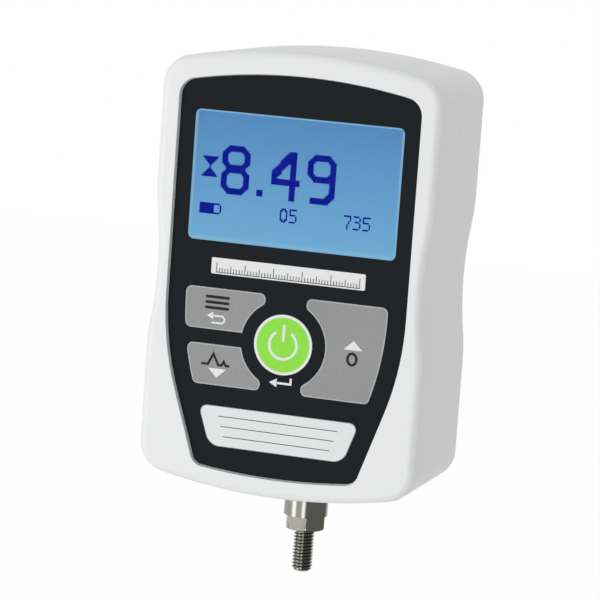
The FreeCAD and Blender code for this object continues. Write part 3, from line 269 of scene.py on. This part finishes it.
def start_shape(corners, middle, radius):
    """Add a flat regular shape that faces the front, with its place in its mesh."""
    bpy.ops.object.select_all(action="DESELECT")
    bpy.ops.mesh.primitive_circle_add(
        vertices=corners, radius=radius * MM, fill_type="NGON",
        location=(middle[0] * MM, 0.0, middle[1] * MM), rotation=(math.pi / 2, 0.0, 0.0))
    bpy.ops.object.transform_apply(location=True, rotation=True, scale=True)
    return bpy.context.object


def thicken(obj, face, depth, segments=0, rounding=0.0, border=0.0):
    """Round the corners, set the shape at its depth and draw its back out behind it.

    A shape with a border is left as an open frame of that width.
    """
    bpy.context.view_layer.objects.active = obj
    bpy.ops.object.mode_set(mode="EDIT")
    bpy.ops.mesh.select_all(action="SELECT")
    if rounding:
        bpy.ops.mesh.bevel(offset=rounding * MM, segments=segments, affect="VERTICES")
        bpy.ops.mesh.select_all(action="SELECT")
    if border:
        bpy.ops.mesh.inset(thickness=border * MM, depth=0.0)
        bpy.ops.mesh.delete(type="FACE")
        bpy.ops.mesh.select_all(action="SELECT")
    bpy.ops.transform.translate(value=(0.0, face, 0.0))
    draw_back(depth)


def corner_shape(name, corners, face, depth, rounding=0.0, segments=6, border=0.0):
    """Flat print or plate with the given corners, in millimetres across and up."""
    obj = start_shape(len(corners), (0.0, 0.0), 10.0)
    obj.name = name
    for vertex, (x, z) in zip(obj.data.vertices, corners):
        vertex.co = (x * MM, 0.0, z * MM)
    thicken(obj, face, depth, segments, rounding, border)
    return obj


def bar(name, middle, width, height, face, depth, rounding=0.0, border=0.0):
    """Flat oblong print about its middle, in millimetres across and up."""
    x, z = middle
    return corner_shape(name, [(x - width / 2, z - height / 2), (x + width / 2, z - height / 2),
                               (x + width / 2, z + height / 2), (x - width / 2, z + height / 2)],
                        face, depth, rounding, border=border)


def stroke(name, points, width, face, depth, closed=False):
    """Print of even width along a line of points, with mitred bends."""
    count = len(points)
    sides = [[], []]
    for index, (x, z) in enumerate(points):
        before = points[index - 1] if index or closed else None
        after = points[(index + 1) % count] if index + 1 < count or closed else None
        runs = [Vector((b[0] - a[0], b[1] - a[1])).normalized()
                for a, b in ((before, (x, z)), ((x, z), after)) if a and b]
        normals = [Vector((-run.y, run.x)) for run in runs]
        mitre = (normals[0] + normals[-1]).normalized()
        reach = width / 2 / max(0.3, mitre.dot(normals[0]))
        for side, sign in zip(sides, (1, -1)):
            side.append((x + sign * reach * mitre.x, z + sign * reach * mitre.y))
    left, right = sides
    pieces = []
    for index in range(count if closed else count - 1):
        after = (index + 1) % count
        pieces.append(corner_shape(name, [left[index], right[index], right[after], left[after]],
                                   face, depth))
    return join_pieces(name, pieces)


def join_pieces(name, pieces):
    bpy.ops.object.select_all(action="DESELECT")
    for piece in pieces:
        piece.select_set(True)
    bpy.context.view_layer.objects.active = pieces[0]
    if len(pieces) > 1:
        bpy.ops.object.join()
    obj = bpy.context.object
    obj.name = name
    return obj


def finish_print(obj, material, body):
    obj.data.name = obj.name
    wear(obj, material)
    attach(obj, body)


ON_KEY = (KEY_FACE - PRINT, 2 * PRINT)
menu_bars = join_pieces("menu_bars", [
    bar("menu_bar", (-16.3, 55.05 + rise), 5.8, 0.66, *ON_KEY, rounding=0.3)
    for rise in (-1.25, 0.0, 1.25)])
finish_print(menu_bars, black_ink, "menu_key")
back_arrow = join_pieces("back_arrow", [
    stroke("back_line", [(-17.2, 52.0), (-14.9, 52.0), (-14.35, 51.5), (-14.35, 50.9),
                         (-14.9, 50.4), (-17.4, 50.4)], 0.42, *ON_KEY),
    corner_shape("back_head", [(-18.6, 52.0), (-17.1, 51.15), (-17.1, 52.85)], *ON_KEY)])
finish_print(back_arrow, white_ink, "menu_key")
peak_wave = stroke("peak_wave", [(-19.2, 40.8), (-17.6, 40.8), (-16.4, 43.3), (-15.1, 40.8),
                                 (-14.3, 40.8), (-13.8, 41.7), (-13.3, 40.8), (-12.4, 40.8)],
                   0.55, *ON_KEY)
finish_print(peak_wave, black_ink, "peak_key")
down_arrow = corner_shape("down_arrow", [(-17.5, 39.95), (-15.35, 37.85), (-13.15, 39.95)],
                          *ON_KEY)
finish_print(down_arrow, white_ink, "peak_key")
up_arrow = corner_shape("up_arrow", [(14.3, 47.95), (18.75, 47.95), (16.6, 50.1)], *ON_KEY)
finish_print(up_arrow, white_ink, "zero_key")
NOUGHT = (16.45, 45.85)
NOUGHT_REACH = (1.05, 1.3)
NOUGHT_POINTS = 24
nought_turns = [step * 2 * math.pi / NOUGHT_POINTS for step in range(NOUGHT_POINTS)]
nought = stroke("nought", [(NOUGHT[0] + NOUGHT_REACH[0] * math.sin(turn),
                            NOUGHT[1] + NOUGHT_REACH[1] * math.cos(turn))
                           for turn in nought_turns], 0.6, *ON_KEY, closed=True)
finish_print(nought, black_ink, "zero_key")


# Power key. A round embossed button under a clear glossy dome, printed green inside a white
# ring, with the usual on and off sign: a ring broken at the top by a short bar.
POWER_Z = 47.2
GREEN_RADIUS = 6.25
DOME_RISE = 0.03 * MM
SIGN_RADIUS = 3.25
SIGN_GAP = 33.0
SIGN_STEPS = 48
gloss_white = grained("gloss_white", (0.80, 0.81, 0.80), 0.3, grains=3000.0, shift=0.02,
                      depth=0.000004, coat=0.3)
wear(nodes["power_key"], gloss_white)
green = grained("key_green", (0.255, 0.74, 0.03), 0.32, grains=2400.0, shift=0.1,
                depth=0.000008, coat=0.35, coat_roughness=0.15)
dome = start_shape(96, (0.0, POWER_Z), GREEN_RADIUS)
dome.name = "power_face"
thicken(dome, KEY_FACE - DOME_RISE, 2 * DOME_RISE)
finish_print(dome, green, "power_key")
ON_DOME = (KEY_FACE - DOME_RISE - PRINT, 2 * PRINT)
arc_points = []
for step in range(SIGN_STEPS + 1):
    angle = math.radians(SIGN_GAP + step * (360.0 - 2 * SIGN_GAP) / SIGN_STEPS)
    arc_points.append((SIGN_RADIUS * math.sin(angle), POWER_Z + SIGN_RADIUS * math.cos(angle)))
power_sign = join_pieces("power_sign", [
    stroke("power_arc", arc_points, 0.6, *ON_DOME),
    bar("power_bar", (0.0, POWER_Z + 2.7), 0.62, 3.9, *ON_DOME, rounding=0.28)])
finish_print(power_sign, white_ink, "power_key")
ON_PANEL = (PANEL_FACE - PRINT, 2 * PRINT)
enter_arrow = join_pieces("enter_arrow", [
    stroke("enter_line", [(2.4, 39.75), (2.4, 38.4), (-1.0, 38.4)], 0.5, *ON_PANEL),
    corner_shape("enter_head", [(-2.7, 38.4), (-0.9, 37.4), (-0.9, 39.4)], *ON_PANEL)])
finish_print(enter_arrow, white_ink, "housing")


# Prints on the panel. A pale strip with a fine ruled scale under the display, and near the foot
# a pale aluminium plate, stuck on, with ruled lines to write on. A thin dark grey border round
# the plate is a painted shadow at its edge.
STRIP_MIDDLE = (-0.1, 63.45)
STRIP_SIZE = (36.6, 3.7)
SCALE_FOOT = 62.0
SCALE_LENGTH = 34.2
TICKS = 50
TICK_STEP = 0.68
TICK_WIDTH = 0.16
TICK_TEN, TICK_FIVE, TICK_ONE = 2.2, 1.6, 1.0
PLATE = [(-19.3, 31.45), (-16.1, 22.1), (16.1, 22.1), (19.3, 31.45)]
PLATE_THICKNESS = 0.12
PLATE_SHAPE = {"rounding": 2.4, "segments": 10}
pale_strip = bar("scale_strip", STRIP_MIDDLE, *STRIP_SIZE, *ON_PANEL, rounding=0.35)
finish_print(pale_strip, white_ink, "housing")
ON_STRIP = (PANEL_FACE - 2 * PRINT, 2 * PRINT)
ticks = []
for number in range(TICKS + 1):
    tall = TICK_TEN if number % 10 == 0 else TICK_FIVE if number % 5 == 0 else TICK_ONE
    place = (STRIP_MIDDLE[0] + (number - TICKS / 2) * TICK_STEP, SCALE_FOOT + tall / 2)
    ticks.append(bar("tick", place, TICK_WIDTH, tall, *ON_STRIP))
ticks.append(bar("tick", (STRIP_MIDDLE[0], SCALE_FOOT), SCALE_LENGTH, TICK_WIDTH, *ON_STRIP))
finish_print(join_pieces("scale_ticks", ticks), black_ink, "housing")
plate_metal = grained("plate_print", (0.78, 0.80, 0.80), 0.4, grains=3500.0, shift=0.03,
                      depth=0.000006)
# Painted shadow: a dark grey frame laid round the plate's edge.
shade_grey = grained("plate_edge_shadow", (0.2, 0.21, 0.22), 0.45, grains=3500.0, shift=0.1,
                     depth=0.000006)
plate = corner_shape("label_plate", PLATE, PANEL_FACE - PLATE_THICKNESS * MM,
                     (PLATE_THICKNESS + 0.01) * MM, **PLATE_SHAPE)
finish_print(plate, plate_metal, "housing")
plate_shadow_line = corner_shape("plate_shadow_line", PLATE, PANEL_FACE - (PLATE_THICKNESS + 0.01) * MM,
                            (PLATE_THICKNESS + 0.02) * MM, **PLATE_SHAPE, border=0.14)
finish_print(plate_shadow_line, shade_grey, "housing")
ON_PLATE = (PANEL_FACE - PLATE_THICKNESS * MM - PRINT, 2 * PRINT)
rules = [bar("rule", (0.0, z), width, TICK_WIDTH, *ON_PLATE)
         for z, width in ((29.1, 28.6), (26.8, 27.2), (24.5, 25.6))]
finish_print(join_pieces("plate_rules", rules), black_ink, "housing")


# Display. A backlit liquid crystal glass behind a clear pane. Its light is a little deeper at
# the top and paler towards the bottom edge, where the lamps sit.
GLASS_FACE = -24.1 * MM
FIELD_FOOT, FIELD_TOP = 69.0 * MM, 98.6 * MM
BACKLIGHT = 0.85
glass, tree, shader = new_material("display_blue", {
    "Emission Strength": BACKLIGHT, "Base Color": (0.005, 0.01, 0.02, 1.0),
    "Roughness": 0.3, "Specular IOR Level": 0.1})
place = tree.nodes.new("ShaderNodeTexCoord")
axes = tree.nodes.new("ShaderNodeSeparateXYZ")
height = tree.nodes.new("ShaderNodeMapRange")
glow = tree.nodes.new("ShaderNodeValToRGB")
set_inputs(height, {"From Min": FIELD_FOOT, "From Max": FIELD_TOP})
tree.links.new(place.outputs["Object"], axes.inputs[0])
tree.links.new(axes.outputs["Z"], height.inputs["Value"])
tree.links.new(height.outputs["Result"], glow.inputs["Fac"])
glow.color_ramp.elements[0].color = (0.26, 0.54, 0.77, 1.0)
glow.color_ramp.elements[1].color = (0.09, 0.275, 0.56, 1.0)
glow.color_ramp.elements.new(0.035).color = (0.17, 0.45, 0.72, 1.0)
tree.links.new(glow.outputs["Color"], shader.inputs["Emission Color"])
wear(nodes["display_glass"], glass)

# Behind the pane's edge a frosted border takes up the backlight, as a paler line round the
# field. It is let into the back of the pane.
PANE_BACK = -25.2 * MM
BORDER_MIDDLE = (-0.3, 83.65)
BORDER_SIZE = (50.2, 30.9)
BORDER_DEPTH = 0.03 * MM
pale_blue, _, _ = new_material("display_border", {
    "Base Color": (0.02, 0.04, 0.06, 1.0), "Emission Color": (0.215, 0.45, 0.665, 1.0),
    "Emission Strength": BACKLIGHT, "Specular IOR Level": 0.1})
border = bar("display_border", BORDER_MIDDLE, *BORDER_SIZE, PANE_BACK - BORDER_DEPTH, PRINT,
             rounding=1.6, border=0.95)
finish_print(border, pale_blue, "housing")

# The pane is clear moulded acrylic, polished on both faces and let into the panel's window, so
# it bends the light only a little.
pane, _, _ = new_material("clear_pane", {
    "Base Color": (0.97, 0.985, 1.0, 1.0), "Roughness": 0.0, "Transmission Weight": 1.0,
    "IOR": 1.12})
wear(nodes["display_pane"], pane)


# Display figures. Square dots of the liquid crystal that have turned dark: three large digits
# with their point, two small numbers, a pair of limit marks and a battery sign.
DOT = (0.485, 0.485)
MARK_DOT = (0.42, 0.47)
SMALL_DOT = (0.36, 0.4)
DIGIT = (14, 23)
STROKE = 3
SMALL_HEIGHT = 76.2
DOT_RISE = 0.03 * MM
liquid, _, _ = new_material("display_dots", {
    "Base Color": (0.001, 0.002, 0.05, 1.0), "Roughness": 0.35, "Specular IOR Level": 0.0,
    "Emission Color": (0.001, 0.006, 0.27, 1.0), "Emission Strength": 0.8})


def cut_box(column, row, left, right, low, high, cut):
    """Whether a dot lies in a box whose corners are cut off by some dots."""
    if not (left <= column <= right and low <= row <= high):
        return False
    beside = min(column - left, right - column)
    above_or_below = min(row - low, high - row)
    return beside + above_or_below >= cut


def loop(column, row, left, right, low, high, width, cut):
    """Whether a dot lies on a loop of the given width round a box."""
    return (cut_box(column, row, left, right, low, high, cut)
            and not cut_box(column, row, left + width, right - width, low + width, high - width,
                            1))


def dots(name, middle, size, dot, lit):
    """Grid of dots about a place, with those left that the rule lights."""
    columns, rows = size
    bpy.ops.object.select_all(action="DESELECT")
    bpy.ops.mesh.primitive_grid_add(
        x_subdivisions=columns, y_subdivisions=rows, size=1.0,
        location=(middle[0] * MM, GLASS_FACE - DOT_RISE, middle[1] * MM),
        rotation=(math.pi / 2, 0.0, 0.0))
    obj = bpy.context.object
    obj.name = name
    obj.scale = (columns * dot[0] * MM, rows * dot[1] * MM, 1.0)
    bpy.ops.object.transform_apply(location=True, rotation=True, scale=True)
    left = (middle[0] - columns * dot[0] / 2) * MM
    low = (middle[1] - rows * dot[1] / 2) * MM
    pick(obj, "FACE", lambda face: not lit(int((face.center.x - left) / (dot[0] * MM)),
                                           int((face.center.z - low) / (dot[1] * MM))))
    bpy.ops.mesh.delete(type="FACE")
    bpy.ops.mesh.select_all(action="SELECT")
    draw_back(PRINT)
    return obj


def eight(column, row):
    return (loop(column, row, 0, 13, 11, 22, STROKE, 3)
            or loop(column, row, 0, 13, 0, 12, STROKE, 3))


def four(column, row):
    stem = 9 <= column <= 11
    crossbar = 7 <= row <= 9
    slant = column <= 9 and 7.1 + 1.2 * column <= row <= 13.6 + 1.13 * column
    return stem or crossbar or (slant and row > 9)


def nine(column, row):
    hook = (cut_box(column, row, -9, 13, 0, 30, 3)
            and not cut_box(column, row, -9, 13 - STROKE, STROKE, 30, 2))
    return (loop(column, row, 0, 13, 10, 22, STROKE, 3)
            or (hook and column >= 2 and row <= 19))


figures = [
    dots("digit_8", (-15.02, 85.25), DIGIT, DOT, eight),
    dots("digit_point", (-9.0, 80.65), (3, 3), (0.5, 0.5), lambda column, row: True),
    dots("digit_4", (-3.02, 85.1), DIGIT, DOT, four),
    dots("digit_9", (5.4, 85.05), DIGIT, DOT, nine),
    dots("mark_upper", (-21.1, 86.75), (9, 5), MARK_DOT,
         lambda column, row: abs(column - 4) <= row),
    dots("mark_lower", (-21.25, 84.4), (9, 5), MARK_DOT,
         lambda column, row: abs(column - 4) <= 4 - row),
    dots("battery_sign", (-20.45, 76.05), (12, 6), (0.44, 0.42),
         lambda column, row: column <= 7 or (column == 11 and 1 <= row <= 4)
         or (row in (0, 5) and column <= 10)),
]
SMALL = {
    "0": lambda c, r: loop(c, r, 0, 4, 0, 7, 1, 1),
    "5": lambda c, r: (r == 7 or (c == 0 and r >= 4) or (r == 4 and c <= 3)
                       or (c == 4 and 1 <= r <= 3) or (r == 0 and c <= 3)),
    "7": lambda c, r: (r == 7 or (c == 4 and r >= 5) or (c == 3 and 3 <= r <= 4)
                       or (c == 2 and r <= 2)),
    "3": lambda c, r: ((r in (0, 7) and c <= 3) or (c == 4 and r in (1, 2, 3, 5, 6))
                       or (r == 4 and 1 <= c <= 3)),
}
for number, (digit, x) in enumerate((("0", -2.9), ("5", -0.65), ("7", 12.2), ("3", 14.45),
                                     ("5", 16.7))):
    figures.append(dots("small_%d" % number, (x, SMALL_HEIGHT), (5, 8), SMALL_DOT, SMALL[digit]))
finish_print(join_pieces("display_figures", figures), liquid, "housing")


# Loading shaft. Turned from stainless bar: the threaded stud, the hexagon for a spanner and the
# collar are one piece, with fine turning marks round the axis.
SHOULDER_CUT = -0.05 * MM
CORNER_EASE = 0.35 * MM
TURNED = (40.0, 40.0, 9000.0)
TOOL_MARK_DEPTH = 0.01 * MM
ROUGHNESS_SPREAD = 0.1


def turned_steel(name, colour, roughness, stretch):
    """Bare metal with fine tool marks, drawn out by the stretch along each axis."""
    material, tree, shader = new_material(name, {"Base Color": (*colour, 1.0), "Metallic": 1.0})
    place = tree.nodes.new("ShaderNodeTexCoord")
    drawn = tree.nodes.new("ShaderNodeMapping")
    drawn.inputs["Scale"].default_value = stretch
    marks = tree.nodes.new("ShaderNodeTexNoise")
    set_inputs(marks, {"Scale": 1.0, "Detail": 4.0})
    spread = tree.nodes.new("ShaderNodeMapRange")
    set_inputs(spread, {"To Min": max(0.05, roughness - ROUGHNESS_SPREAD),
                        "To Max": roughness + ROUGHNESS_SPREAD})
    bump = tree.nodes.new("ShaderNodeBump")
    bump.inputs["Distance"].default_value = TOOL_MARK_DEPTH
    tree.links.new(place.outputs["Object"], drawn.inputs["Vector"])
    tree.links.new(drawn.outputs["Vector"], marks.inputs["Vector"])
    tree.links.new(marks.outputs["Fac"], spread.inputs["Value"])
    tree.links.new(spread.outputs["Result"], shader.inputs["Roughness"])
    tree.links.new(marks.outputs["Fac"], bump.inputs["Height"])
    tree.links.new(bump.outputs["Normal"], shader.inputs["Normal"])
    return material


# Stainless steel's colour, set darker than bare stainless: in part painted shade for its dark
# reflections.
steel = turned_steel("shaft_steel", (0.30, 0.295, 0.262), 0.17, TURNED)
shaft = smooth_copy("loading_shaft", "shaft_collar", angle=25.0)
bpy.ops.object.mode_set(mode="EDIT")
bpy.ops.mesh.select_all(action="SELECT")
bpy.ops.mesh.bisect(plane_co=(0, 0, SHOULDER_CUT), plane_no=(0, 0, 1), clear_inner=True,
                    use_fill=True, threshold=1e-7)
bpy.ops.mesh.select_mode(type="EDGE")
bpy.ops.mesh.select_all(action="DESELECT")
bpy.ops.mesh.edges_select_sharp(sharpness=math.radians(50))
bpy.ops.object.mode_set(mode="OBJECT")
for edge in shaft.data.edges:
    low, high = (shaft.data.vertices[end].co for end in edge.vertices)
    upright = abs(low.x - high.x) + abs(low.y - high.y) < NEAR * MM
    edge.select = edge.select and upright
bpy.ops.object.mode_set(mode="EDIT")
bpy.ops.mesh.bevel(offset=CORNER_EASE, segments=3, affect="EDGES")
bpy.ops.mesh.region_to_loop()
bpy.ops.mesh.mark_sharp()
leave_edit()
wear(shaft, steel)
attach(shaft, "loading_shaft")
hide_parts("loading_shaft")

# Its thread is one ridge and groove drawn round as a screw, then cut off square at both ends.
# The first turn runs out under the hexagon, and the tip is turned to a cone. Its steel is
# coloured darker than the collar's, as painted shade in the thread.
STUD_RADIUS = 2.413
STUD_ROOT = 1.93
STUD_LENGTH = 10.1
STUD_PITCH = 25.4 / 32
STUD_CHAMFER = 0.6
RUN_OUT_START = 0.35
RUN_OUT_SLOPE = 1.2
THREAD_TURNS = 14
THREAD_STEPS = 48
THREAD_MERGE = 0.001 * MM
THREAD_TOP = -0.02 * MM
RIDGE = ((0.0, STUD_ROOT), (0.14, STUD_ROOT), (0.43, STUD_RADIUS), (0.57, STUD_RADIUS),
         (0.86, STUD_ROOT), (1.0, STUD_ROOT))
bpy.ops.object.select_all(action="DESELECT")
bpy.ops.mesh.primitive_circle_add(vertices=len(RIDGE), radius=MM, fill_type="NOTHING")
thread = bpy.context.object
thread.name = "shaft_thread"
for vertex, (share, radius) in zip(thread.data.vertices, RIDGE):
    vertex.co = (radius * MM, 0.0, (share - 1.0) * STUD_PITCH * MM - STUD_LENGTH * MM)
pick(thread, "EDGE", lambda edge: set(edge.vertices) == {0, len(RIDGE) - 1})
bpy.ops.mesh.delete(type="EDGE")
leave_edit()
screw = thread.modifiers.new("screw", "SCREW")
screw.axis = "Z"
screw.screw_offset = STUD_PITCH * MM
screw.iterations = THREAD_TURNS
screw.steps = screw.render_steps = THREAD_STEPS
screw.use_merge_vertices = True
screw.merge_threshold = THREAD_MERGE
bpy.ops.object.modifier_apply(modifier="screw")
bpy.ops.object.mode_set(mode="EDIT")
bpy.ops.mesh.select_all(action="SELECT")
bpy.ops.mesh.remove_doubles(threshold=THREAD_MERGE)
for level, drop_above in ((-STUD_LENGTH * MM, False), (THREAD_TOP, True)):
    bpy.ops.mesh.select_all(action="SELECT")
    bpy.ops.mesh.bisect(plane_co=(0, 0, level), plane_no=(0, 0, 1), use_fill=True,
                        clear_inner=not drop_above, clear_outer=drop_above, threshold=1e-7)
bpy.ops.mesh.select_all(action="SELECT")
bpy.ops.mesh.normals_make_consistent(inside=False)
bpy.ops.object.mode_set(mode="OBJECT")
for vertex in thread.data.vertices:
    x, y, z = vertex.co / MM
    radius = math.hypot(x, y)
    tip = STUD_RADIUS - STUD_CHAMFER + (z + STUD_LENGTH)
    neck = STUD_ROOT + max(0.0, -z - RUN_OUT_START) * RUN_OUT_SLOPE
    limit = min(tip, neck)
    if radius > limit:
        vertex.co = (x * limit / radius * MM, y * limit / radius * MM, z * MM)
bpy.ops.object.shade_smooth_by_angle(angle=math.radians(30))
# Painted shade: the collar's turned steel, set darker for the thread.
shaded_thread_steel = turned_steel("thread_steel", (0.2, 0.2, 0.18), 0.2, TURNED)
wear(thread, shaded_thread_steel)
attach(thread, "loading_shaft")


# Inner pieces and the back's fittings, in the plain finishes of their kind: brass and steel
# inserts, zinc plated screws, moulded sockets, a green board, a milled beam and foam.
MARKS_ROUND_Y = (60.0, 5000.0, 60.0)
zinc = turned_steel("screw_steel", (0.55, 0.55, 0.56), 0.35, MARKS_ROUND_Y)
brass = turned_steel("insert_brass", (0.62, 0.43, 0.16), 0.35, MARKS_ROUND_Y)
ground = turned_steel("insert_steel", (0.5, 0.5, 0.51), 0.3, MARKS_ROUND_Y)
milled = turned_steel("beam_aluminium", (0.72, 0.73, 0.74), 0.4, (60.0, 60.0, 5000.0))
tinned = turned_steel("frame_steel", (0.6, 0.6, 0.6), 0.4, (5000.0, 60.0, 60.0))
black_moulding = grained("socket_black", (0.02, 0.02, 0.02), 0.5)
FINISHES = {
    "display_frame": tinned, "data_socket": tinned, "snap_domes": tinned,
    "board_screws": zinc, "captive_screws": zinc, "screw_retainers": zinc,
    "load_cell_screws": zinc, "shaft_washer": zinc, "shaft_nut": zinc,
    "overload_pins": ground, "dowel_insert": ground, "threaded_inserts": brass,
    "load_cell": milled, "charging_socket": black_moulding, "battery_snap": black_moulding,
    "board_chips": black_moulding,
    "backlight": grained("backlight_white", (0.8, 0.83, 0.85), 0.4),
    "contact_strips": grained("strip_rubber", (0.35, 0.12, 0.12), 0.6),
    "main_board": grained("board_green", (0.01, 0.12, 0.045), 0.35, coat=0.3),
    "board_headers": grained("header_white", (0.7, 0.69, 0.62), 0.5),
    "strain_gauges": grained("gauge_foil", (0.6, 0.35, 0.08), 0.4),
    "battery": grained("battery_case", (0.08, 0.08, 0.09), 0.35),
    "battery_pads": grained("foam", (0.05, 0.05, 0.055), 0.9, grains=900.0, depth=0.0001),
    "battery_leads": grained("lead_red", (0.45, 0.02, 0.02), 0.4),
}
FINISHES["load_cell_leads"] = FINISHES["charging_leads"] = FINISHES["battery_leads"]
for node, finish in FINISHES.items():
    wear(nodes[node], finish)


# Camera and light, at the photograph's viewing angle: soft lamps to the left and in front, and a
# white room with a pale floor, which can be looked through from below.
YAW, PITCH, ROLL = math.radians(17.615), math.radians(8.061), math.radians(4.186)
TARGET = Vector((3.21, -26.6, 57.86)) * MM
DISTANCE = 682.4 * MM
FRAME_PIXELS = 600.0
FOCAL_PIXELS = 3033.2
SENSOR_WIDTH = 36.0
FLOOR_SIZE = 8.0
FLOOR_LEVEL = -0.45
FLOOR_SHOWN = 0.98
ROOM_LEVEL = 0.635


def background_rays(tree):
    """One for rays that show the background, straight, through glass or off a shiny face."""
    rays = tree.nodes.new("ShaderNodeLightPath").outputs
    seen = math_node(tree, "MAXIMUM", rays["Is Camera Ray"], rays["Is Transmission Ray"])
    return math_node(tree, "MAXIMUM", seen, rays["Is Glossy Ray"])


def soft_lamp(name, place, size, power):
    """Oblong lamp that looks at the middle of the view."""
    lamp = bpy.data.lights.new(name, "AREA")
    lamp.shape = "RECTANGLE"
    lamp.size, lamp.size_y = size
    lamp.energy = power
    obj = bpy.data.objects.new(name, lamp)
    bpy.context.scene.collection.objects.link(obj)
    obj.location = place
    obj.rotation_mode = "QUATERNION"
    obj.rotation_quaternion = (Vector(place) - TARGET).to_track_quat("Z", "Y")


back = Vector((math.sin(YAW) * math.cos(PITCH), -math.cos(YAW) * math.cos(PITCH),
               math.sin(PITCH)))
across = (-back).cross(Vector((0, 0, 1))).normalized()
above = across.cross(-back)
tilted_across = math.cos(ROLL) * across + math.sin(ROLL) * above
tilted_above = -math.sin(ROLL) * across + math.cos(ROLL) * above
lens = bpy.data.cameras.new("camera")
lens.sensor_width = SENSOR_WIDTH
lens.lens = FOCAL_PIXELS * SENSOR_WIDTH / FRAME_PIXELS
lens.clip_start = 0.05
lens.clip_end = 20.0
camera = bpy.data.objects.new("camera", lens)
bpy.context.scene.collection.objects.link(camera)
turn = Matrix((tilted_across, tilted_above, back)).transposed().to_4x4()
camera.matrix_world = Matrix.Translation(TARGET + back * DISTANCE) @ turn
bpy.context.scene.camera = camera

bpy.ops.mesh.primitive_plane_add(size=FLOOR_SIZE, location=(0, 0, FLOOR_LEVEL))
floor = bpy.context.object
floor.name = "floor"
pale, tree, shader = new_material("floor_white", {
    "Base Color": (0.9, 0.9, 0.9, 1.0), "Roughness": 0.9})
lit = tree.nodes.new("ShaderNodeEmission")
blend = tree.nodes.new("ShaderNodeMixShader")
tree.links.new(math_node(tree, "MULTIPLY", background_rays(tree), FLOOR_SHOWN),
               blend.inputs["Fac"])
tree.links.new(shader.outputs[0], blend.inputs[1])
tree.links.new(lit.outputs[0], blend.inputs[2])
under = tree.nodes.new("ShaderNodeNewGeometry")
clear = tree.nodes.new("ShaderNodeBsdfTransparent")
side = tree.nodes.new("ShaderNodeMixShader")
tree.links.new(under.outputs["Backfacing"], side.inputs["Fac"])
tree.links.new(blend.outputs[0], side.inputs[1])
tree.links.new(clear.outputs[0], side.inputs[2])
tree.links.new(side.outputs[0], tree.nodes["Material Output"].inputs["Surface"])
wear(floor, pale)

room = bpy.data.worlds.new("room")
room.use_nodes = True
bpy.context.scene.world = room
tree = room.node_tree
air = tree.nodes["Background"]
air.inputs["Color"].default_value = (1.0, 1.0, 1.0, 1.0)
level = tree.nodes.new("ShaderNodeMapRange")
set_inputs(level, {"To Min": ROOM_LEVEL, "To Max": 1.0})
tree.links.new(background_rays(tree), level.inputs["Value"])
tree.links.new(level.outputs["Result"], air.inputs["Strength"])

soft_lamp("lamp_left", (-0.45, -0.41, 0.058), (0.24, 0.52), 0.96)
soft_lamp("lamp_front", (0.10, -1.05, 0.0), (0.26, 0.8), 1.7)

# A grey card to the right, which only reflections see, gives the round steel its dark side.
# It belongs to the light, as the lamps do.
CARD_PLACE = (0.22, -0.03, -0.03)
CARD_TURN = math.radians(82.4)
CARD_SIZE = (1.12, 0.76, 1.0)
bpy.ops.mesh.primitive_plane_add(size=1.0, location=CARD_PLACE,
                                 rotation=(math.pi / 2, 0.0, CARD_TURN))
card = bpy.context.object
card.name = "grey_card"
card.scale = CARD_SIZE
bpy.ops.object.transform_apply(location=True, rotation=True, scale=True)
card_grey, _, _ = new_material("card_grey", {
    "Base Color": (0.0, 0.0, 0.0, 1.0), "Specular IOR Level": 0.0,
    "Emission Color": (0.28, 0.28, 0.28, 1.0), "Emission Strength": 1.0})
wear(card, card_grey)
card.visible_camera = card.visible_diffuse = card.visible_shadow = False
card.visible_transmission = card.visible_volume_scatter = False

bpy.context.scene.view_settings.view_transform = "Standard"
